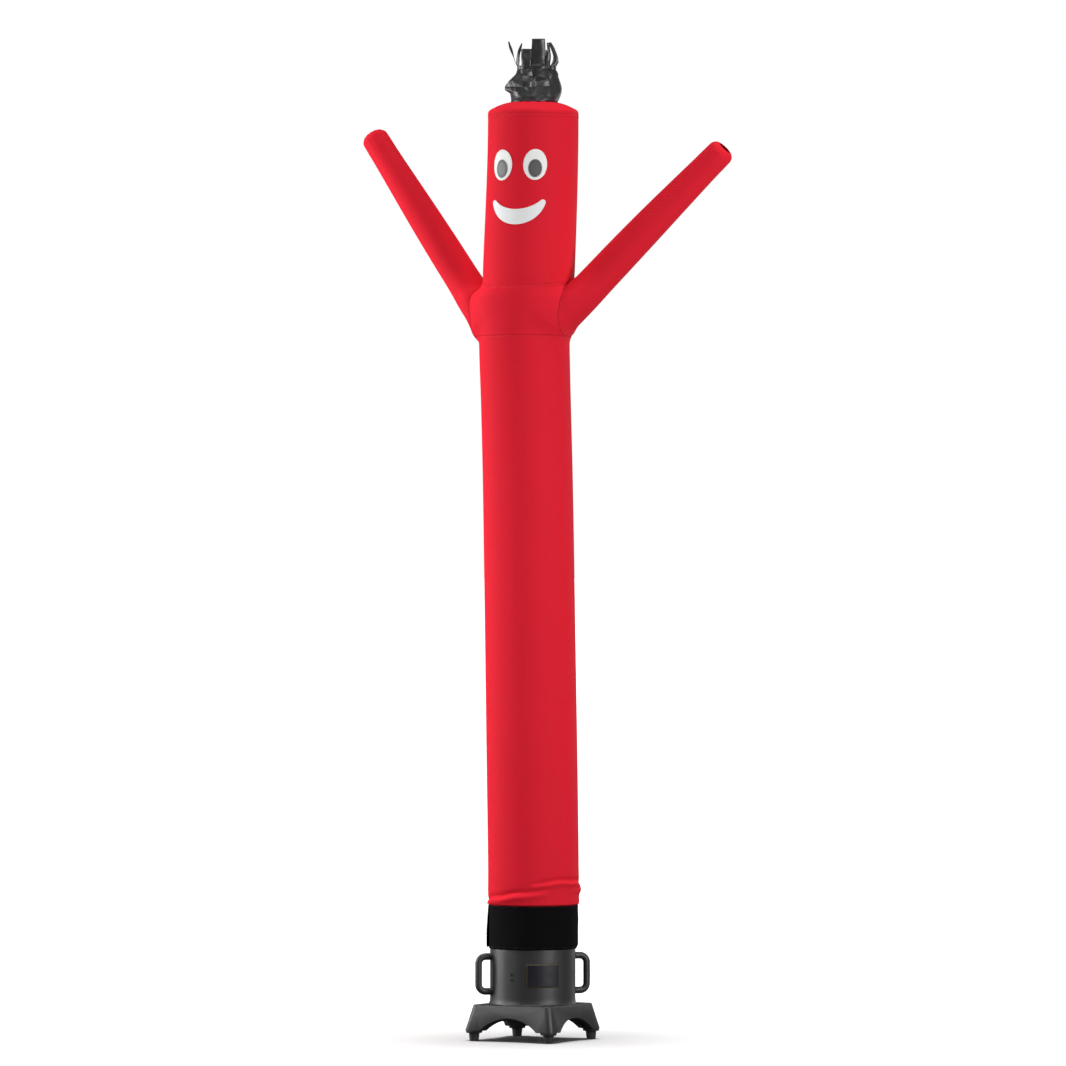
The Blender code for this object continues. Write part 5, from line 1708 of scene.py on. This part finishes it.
def housing_profile():
    """The duct from its spigot down its outer side and up its inner one."""
    radius, foot, top = SPIGOT
    low = PLATE_Z + GAP
    profile = [(radius - 0.002, top), (radius - 0.0006, top - 0.0006), (radius, top - 0.002)]
    profile += [(radius, z) for z in (0.44, 0.4, 0.36, foot + 0.0022)]
    profile += [(DUCT_RADIUS - 0.0006, foot + 0.001), (DUCT_RADIUS, foot)]
    profile += [(DUCT_RADIUS, z) for z in np.linspace(foot - 0.012, low + FLARE[1] + 0.01, 14)]
    for turn in np.linspace(0.5 * math.pi, 0.0, 17):
        out = FLARE[0] * (1.0 - math.sin(turn))
        profile.append((DUCT_RADIUS + out, low + FLARE[1] * (1.0 - math.cos(turn))))
    inner = DUCT_RADIUS - DUCT_WALL
    profile[-1] = (profile[-1][0], low + 0.0008)
    profile.append((profile[-1][0] - 0.0008, low))
    profile += [(inner, low), (inner, 0.5 * (low + top)), (inner, top - 0.001)]
    profile.append((inner + 0.001, top))
    return profile


def box_mesh(name, half_low, half_high, low, high, corner, segments, rim=0.0):
    """A box with rounded upright corners and perhaps a rounded top edge."""
    mesh = bpy.data.meshes.new(name)
    with edited(mesh) as bm:
        bmesh.ops.create_cube(bm, size=2.0)
        for vert in bm.verts:
            top = vert.co.z > 0.0
            half = half_high if top else half_low
            vert.co = (vert.co.x * half, vert.co.y * half, high if top else low)
        shape = {"affect": "EDGES", "profile": 0.5}
        upright = [e for e in bm.edges if abs(e.verts[0].co.z - e.verts[1].co.z) > 0.01]
        bmesh.ops.bevel(bm, geom=upright, offset=corner, segments=segments, **shape)
        if rim:
            upper = [e for e in bm.edges if min(v.co.z for v in e.verts) > high - 0.0001]
            bmesh.ops.bevel(bm, geom=upper, offset=rim, segments=4, **shape)
    return mesh


def cone_mesh(name, segments, place, **sizes):
    """A filled cone or cylinder at a place."""
    mesh = bpy.data.meshes.new(name)
    with edited(mesh) as bm:
        bmesh.ops.create_cone(bm, cap_ends=True, segments=segments, matrix=place, **sizes)
    return mesh


def base_cutters():
    """The round intake, the hollow under the plate and the four arches."""
    lift = Matrix.Translation((0.0, 0.0, PLATE_Z))
    sizes = {"radius1": INTAKE_RADIUS, "radius2": INTAKE_RADIUS, "depth": 2.0 * PLATE_Z}
    meshes = [cone_mesh("cut_intake", 128, lift, **sizes)]
    half, corner, ceiling = CAVITY
    meshes.append(box_mesh("cut_hollow", half, half, -0.01, ceiling, corner, 1))
    radius, crown, flare = ARCH
    inner, outer = ARCH_SPAN
    face = RIM_HALF - (RIM_HALF - PLATE_HALF) * (crown - RIM_Z) / (PLATE_Z - RIM_Z)
    sizes = {"radius1": radius - flare * (face - inner), "radius2": radius + flare * (outer - face)}
    lay = Matrix.Translation((0.5 * (inner + outer), 0.0, crown - radius))
    lay = lay @ Matrix.Rotation(0.5 * math.pi, 4, "Y")
    for side in range(4):
        turned = Matrix.Rotation(side * 0.5 * math.pi, 4, "Z") @ lay
        meshes.append(cone_mesh(f"cut_arch_{side}", 192, turned, depth=outer - inner, **sizes))
    return meshes


def carved(mesh, cutters, edge=0.0):
    """A mesh with other meshes cut out of it, and perhaps its edges rounded."""
    item = link_object(mesh.name, mesh)
    tools = [link_object(cutter.name, cutter) for cutter in cutters]
    for tool in tools:
        cut = item.modifiers.new(tool.name, "BOOLEAN")
        cut.operation = "DIFFERENCE"
        cut.solver = "EXACT"
        cut.object = tool
    if edge:
        soft = item.modifiers.new("edges", "BEVEL")
        soft.width = edge
        soft.segments = 2
        soft.limit_method = "ANGLE"
        soft.angle_limit = math.radians(40.0)
    mesh = settle(item).data
    for thing in (item, *tools):
        bpy.data.objects.remove(thing, do_unlink=True)
    return mesh


def hard_piece(name, mesh, slot, *nodes, sharp=35.0):
    """A hard piece made in the blower's frame, put in its place."""
    mesh.transform(blower_place())
    item = link_object(name, mesh)
    mesh.materials.clear()
    mesh.materials.append(finish_of(slot))
    shade(mesh, sharp)
    return dress(item, slot, *nodes)


def handle_mesh(name, angle):
    """A D-shaped bar with rounded bends and a small fillet where it meets the duct."""
    bar, reach, low, high, bend = HANDLE
    path = [(DUCT_RADIUS + off, high) for off, _ in HANDLE_FOOT]
    for middle_z, first in ((high - bend, 0.5 * math.pi), (low + bend, 0.0)):
        for turn in np.linspace(first, first - 0.5 * math.pi, 13):
            out = reach - bend + bend * math.cos(turn)
            path.append((out, middle_z + bend * math.sin(turn)))
    path = np.array(path + [(DUCT_RADIUS + off, low) for off, _ in reversed(HANDLE_FOOT)])
    way = unit(np.gradient(path, axis=0))
    swell = np.ones((len(path), 1))
    for number, (_, wider) in enumerate(HANDLE_FOOT):
        swell[[number, -1 - number]] = wider
    turn = ring_turns(HANDLE_COLUMNS)
    across = np.stack((way[:, 1], -way[:, 0]), axis=1)
    reach_now = path[:, :1] + across[:, :1] * bar * swell * np.cos(turn)
    height = path[:, 1:] + across[:, 1:] * bar * swell * np.cos(turn)
    side = bar * swell * np.sin(turn)
    least = np.sqrt(np.clip((DUCT_RADIUS + GAP) ** 2 - side**2, 0.0, None))
    mesh = grid_mesh(name, np.stack((np.maximum(reach_now, least), side, height), axis=-1), True)
    with edited(mesh) as bm:
        bm.faces.new(bm.verts[:HANDLE_COLUMNS])
        bm.faces.new(bm.verts[-HANDLE_COLUMNS:])
        bmesh.ops.recalc_face_normals(bm, faces=bm.faces)
    mesh.transform(Matrix.Rotation(angle, 4, "Z"))
    return mesh


class DANCER_OT_blower(bpy.types.Operator):
    """Make the moulded duct, its square base and its two handles"""

    bl_idname = "dancer.blower"
    bl_label = "Blower"

    def execute(self, context):
        duct = spun("duct", housing_profile(), 160, closed=True)
        hard_piece("duct", duct, "shell_plastic", "blower_housing")
        sizes = (RIM_HALF, PLATE_HALF, RIM_Z, PLATE_Z, CORNER_ROUND, 12, PLATE_EDGE)
        base = carved(box_mesh("base_shell", *sizes), base_cutters(), BASE_EDGE)
        hard_piece("base_shell", base, "shell_plastic", "blower_base", sharp=30.0)
        for name, angle in (("handle_right", 45.0), ("handle_left", 225.0)):
            bar = handle_mesh(name + "_bar", math.radians(angle))
            hard_piece(name + "_bar", bar, "shell_plastic", name)
        return {"FINISHED"}


def on_duct(angle, z):
    """Where a piece made along Z stands out from the duct."""
    reach = DUCT_RADIUS + GAP
    place = Matrix.Translation((reach * math.cos(angle), reach * math.sin(angle), z))
    return place @ Matrix.Rotation(angle, 4, "Z") @ Matrix.Rotation(0.5 * math.pi, 4, "Y")


def foot_shape():
    """A rubber foot: a wide collar, a ribbed neck and a tapered peg."""
    top = RIM_Z - GAP
    profile = [(0.0, top), (0.0284, top), (0.0292, 0.036), (0.0292, 0.0312), (0.0284, 0.0297)]
    profile += [(0.027, 0.0283), (0.0205, 0.0277), (0.0192, 0.027), (0.0189, 0.025)]
    profile += [(0.0184, 0.0215), (0.0181, 0.0205), (0.0181, 0.0195), (0.018, 0.018)]
    profile += [(0.0163, 0.0032), (0.016, 0.0012), (0.0148, 0.0), (0.006, 0.0), (0.0, 0.0)]
    return spun("foot_shape", profile, 32)


def screw_shape():
    """A rounded screw head with a cross recess."""
    radius, height = SCREWS[2:]
    profile = [(0.0, height * 0.99), (radius * 0.35, height * 0.97), (radius * 0.65, height * 0.86)]
    profile += [(radius * 0.88, height * 0.62), (radius, height * 0.3), (radius, 0.0), (0.0, 0.0)]
    slots = []
    for number in range(2):
        slot = box_mesh(f"slot_{number}", 1.0, 1.0, -1.0, 1.0, 0.02, 1)
        size = Matrix.Diagonal((radius * 0.62, radius * 0.13, height * 0.5, 1.0))
        turned = Matrix.Rotation(number * 0.5 * math.pi + 0.4, 4, "Z")
        slot.transform(Matrix.Translation((0.0, 0.0, height)) @ turned @ size)
        slots.append(slot)
    return carved(spun("screw_head", profile, 32), slots)


def gland_profile():
    """The blanked cord gland: flange, nut flats and ribbed relief."""
    profile = [(0.0, 0.0268), (0.0045, 0.027), (0.006, 0.0268), (0.007, 0.0258)]
    for rib in range(5):
        low = 0.0245 - 0.0024 * rib
        out = 0.0079 + 0.00015 * rib
        profile += [(out, low), (out, low - 0.0012), (out - 0.001, low - 0.0016)]
    profile += [(0.009, 0.012), (0.0108, 0.0116), (0.0119, 0.0106), (0.012, 0.01)]
    profile += [(0.012, 0.005), (0.0117, 0.0043), (0.0146, 0.0038), (0.015, 0.003)]
    return profile + [(0.015, 0.0), (0.0, 0.0)]


def plate_mesh():
    """The curved plate with rounded corners, mapped from its middle in metres."""
    angle, half_turn, middle, half_height, corner, _ = LABEL
    straight = half_turn - corner / DUCT_RADIUS
    bend = np.sin(np.linspace(0.0, 0.5 * math.pi, 7))[1:] * corner / DUCT_RADIUS
    turns = np.concatenate((-(straight + bend)[::-1], np.linspace(-straight, straight, 36)))
    turns = np.concatenate((turns, straight + bend))[None, :]
    into = np.clip((np.abs(turns) - straight) * DUCT_RADIUS / corner, 0.0, 1.0)
    half = half_height - corner * (1.0 - np.sqrt(np.clip(1.0 - into**2, 0.0, None)))
    share = np.linspace(-1.0, 1.0, 15)[:, None]
    z = middle + half * share
    radius = DUCT_RADIUS + GAP
    mesh = grid_mesh("plate", around(0.0, radius, angle + turns, z), False)
    lay_map(mesh, turns * radius, z - middle)
    return mesh


class DANCER_OT_fittings(bpy.types.Operator):
    """Make the feet, the screws, the cord gland and the bare plate"""

    bl_idname = "dancer.fittings"
    bl_label = "Fittings"

    def execute(self, context):
        place = blower_place()
        feet = [place @ Vector((x * FOOT_OFFSET, y * FOOT_OFFSET, 0.0)) for x, y in CORNERS]
        pegs = copies_on("feet", foot_shape(), feet, "foot_rubber")
        shade(pegs.data, 35.0)
        dress(pegs, "foot_rubber", "foot_front", "foot_right", "foot_back", "foot_left")
        angle, heights = SCREWS[:2]
        head = screw_shape()
        head.transform((place @ on_duct(angle, 0.0)).to_3x3().to_4x4())
        spots = [place @ on_duct(angle, z).to_translation() for z in heights]
        screws = copies_on("screws", head, spots, "screw_steel")
        shade(screws.data, 30.0)
        dress(screws, "screw_steel", "screw_upper", "screw_lower")
        gland = spun("gland", gland_profile(), 40)
        gland.transform(on_duct(*GLAND))
        hard_piece("gland", gland, "foot_rubber", "cable_gland")
        plate = hard_piece("plate", plate_mesh(), "label_film", "label_plate")
        add_wall(plate, LABEL[5], 1.0)
        return {"FINISHED"}


# ------ the studio


# Angle from the camera in degrees, distance, height, width and height of the light, power and
# the height it is aimed at.
SOFTBOXES = (
    ("left_softbox", -100.0, 3.4, 2.1, (1.1, 4.4), 176.0, 1.9),
    ("left_low_softbox", -60.0, 3.4, 1.5, (1.0, 1.0), 30.0, 0.1),
    ("front_softbox", 44.0, 4.6, 2.1, (1.2, 4.4), 196.0, 1.8),
    ("right_rim_softbox", 140.0, 3.4, 1.9, (0.8, 4.6), 26.0, 1.8),
)
TOP_SOFTBOX = ("top_softbox", -20.0, 2.2, 6.2, (3.0, 3.0), 30.0, 2.2)
CAMERA_AIM = (0.001, 1.8004)  # to the camera's right of the duct's axis, and height
FLOOR_HALF, FLOOR_Z = 400.0, -0.0005
FLOOR_SEEN, FLOOR_LIT = (0.98, 0.98, 0.98), (0.15, 0.15, 0.15)
FLOOR_GLOW = 0.42  # far from the figure, where the floor fades into the white behind it
FLOOR_FADE = (0.26, 1.3)  # from where to where the glow sets in
SUN_STRENGTH, SUN_ANGLE = 2.6, math.radians(28.0)


def stand(turn, distance, height):
    """A place round the figure, by its turn from the front."""
    return Vector(AXIS) + Vector((math.sin(turn) * distance, -math.cos(turn) * distance, height))


def aim(item, target):
    """Point a light or a camera at a place."""
    item.rotation_euler = (target - item.location).to_track_quat("-Z", "Y").to_euler()


def softbox(studio, name, degrees, distance, height, size, power, aim_z):
    """A soft light, placed by its angle from the camera round the figure."""
    lamp = bpy.data.lights.new(name, "AREA")
    lamp.shape = "RECTANGLE"
    lamp.size, lamp.size_y = size
    lamp.energy = power
    item = link_object(name, lamp)
    item.location = stand(studio.camera_turn + math.radians(degrees), distance, height)
    aim(item, stand(0.0, 0.0, aim_z))
    return item


def studio_world(brightness):
    """White behind the figure, and grey for the light that falls on it."""
    world = bpy.data.worlds.new("studio")
    world.use_nodes = True
    bpy.context.scene.world = world
    tree = world.node_tree
    tree.nodes.clear()
    white = {"Color": (1.0, 1.0, 1.0)}
    seen = add_node(tree, "ShaderNodeBackground", Strength=1.0, **white).outputs[0]
    light = add_node(tree, "ShaderNodeBackground", Strength=brightness, **white).outputs[0]
    ray = add_node(tree, "ShaderNodeLightPath").outputs["Is Camera Ray"]
    mixed = add_node(tree, "ShaderNodeMixShader", _0=ray, _1=light, _2=seen)
    add_node(tree, "ShaderNodeOutputWorld", _0=mixed.outputs[0])


class DANCER_OT_studio(bpy.types.Operator):
    """Set the pale floor, the soft lights and the camera"""

    bl_idname = "dancer.studio"
    bl_label = "Studio"

    def execute(self, context):
        studio = context.scene.dancer_studio
        mesh = bpy.data.meshes.new("floor")
        corners = [(x * FLOOR_HALF, y * FLOOR_HALF, FLOOR_Z) for x, y in CORNERS]
        mesh.from_pydata(corners, [], [(0, 1, 2, 3)])
        floor = link_object("floor", mesh)
        mesh.materials.append(studio_floor("studio_floor", FLOOR_SEEN, FLOOR_LIT, FLOOR_GLOW))
        studio_world(studio.surround)
        figure_only = bpy.data.collections.new("kept_off_the_floor")
        figure_only.objects.link(floor)
        figure_only.collection_objects[0].light_linking.link_state = "EXCLUDE"
        for box in SOFTBOXES:
            softbox(studio, *box).light_linking.receiver_collection = figure_only
        softbox(studio, *TOP_SOFTBOX)
        sun = bpy.data.lights.new("even_light", "SUN")
        sun.energy = SUN_STRENGTH
        sun.angle = SUN_ANGLE
        link_object("even_light", sun)
        self.camera(context, studio)
        return {"FINISHED"}

    def camera(self, context, studio):
        """The camera at its stand, aimed a little above the middle of the figure."""
        camera = bpy.data.cameras.new("camera")
        camera.lens = studio.lens
        camera.sensor_width = 36.0
        camera.sensor_fit = "HORIZONTAL"
        camera.clip_end = 2000.0
        item = link_object("camera", camera)
        item.location = stand(studio.camera_turn, studio.distance, studio.camera_height)
        aim(item, stand(studio.camera_turn + 0.5 * math.pi, *CAMERA_AIM))
        context.scene.camera = item
        context.scene.view_settings.view_transform = "Standard"
        context.scene.view_settings.look = "None"


class DANCER_PT_panel(bpy.types.Panel):
    """Sizes, colours and pieces of the air dancer"""

    bl_label = "Air Dancer"
    bl_idname = "DANCER_PT_panel"
    bl_space_type = "VIEW_3D"
    bl_region_type = "UI"
    bl_category = "Air Dancer"

    def draw(self, context):
        for label, group in SETTINGS.items():
            box = self.layout.box()
            box.label(text=label)
            settings = getattr(context.scene, group)
            for name in settings.__annotations__:
                box.prop(settings, name)
        column = self.layout.column(align=True)
        for piece in PIECES:
            column.operator(piece.bl_idname)


SETTINGS = {
    "Cloth": "dancer_cloth",
    "Sewing": "dancer_sewing",
    "Colours": "dancer_colours",
    "Studio": "dancer_studio",
}
GROUPS = (DancerCloth, DancerSewing, DancerColours, DancerStudio)
PIECES = (
    DANCER_OT_body,
    DANCER_OT_shoulder,
    DANCER_OT_arms,
    DANCER_OT_head,
    DANCER_OT_face,
    DANCER_OT_hair,
    DANCER_OT_collar,
    DANCER_OT_blower,
    DANCER_OT_fittings,
    DANCER_OT_studio,
)


def register():
    """Add the classes and the scene's settings."""
    for item in (*GROUPS, *PIECES, DANCER_PT_panel):
        bpy.utils.register_class(item)
    for name, group in zip(SETTINGS.values(), GROUPS):
        setattr(bpy.types.Scene, name, PointerProperty(type=group))


def unregister():
    """Take the classes and the settings away."""
    for name in SETTINGS.values():
        delattr(bpy.types.Scene, name)
    for item in reversed((*GROUPS, *PIECES, DANCER_PT_panel)):
        bpy.utils.unregister_class(item)


def main():
    """Make every piece."""
    register()
    for piece in PIECES:
        group, name = piece.bl_idname.split(".")
        if getattr(getattr(bpy.ops, group), name)() != {"FINISHED"}:
            raise RuntimeError(piece.bl_label + " didn't finish")


if __name__ == "__main__":
    main()
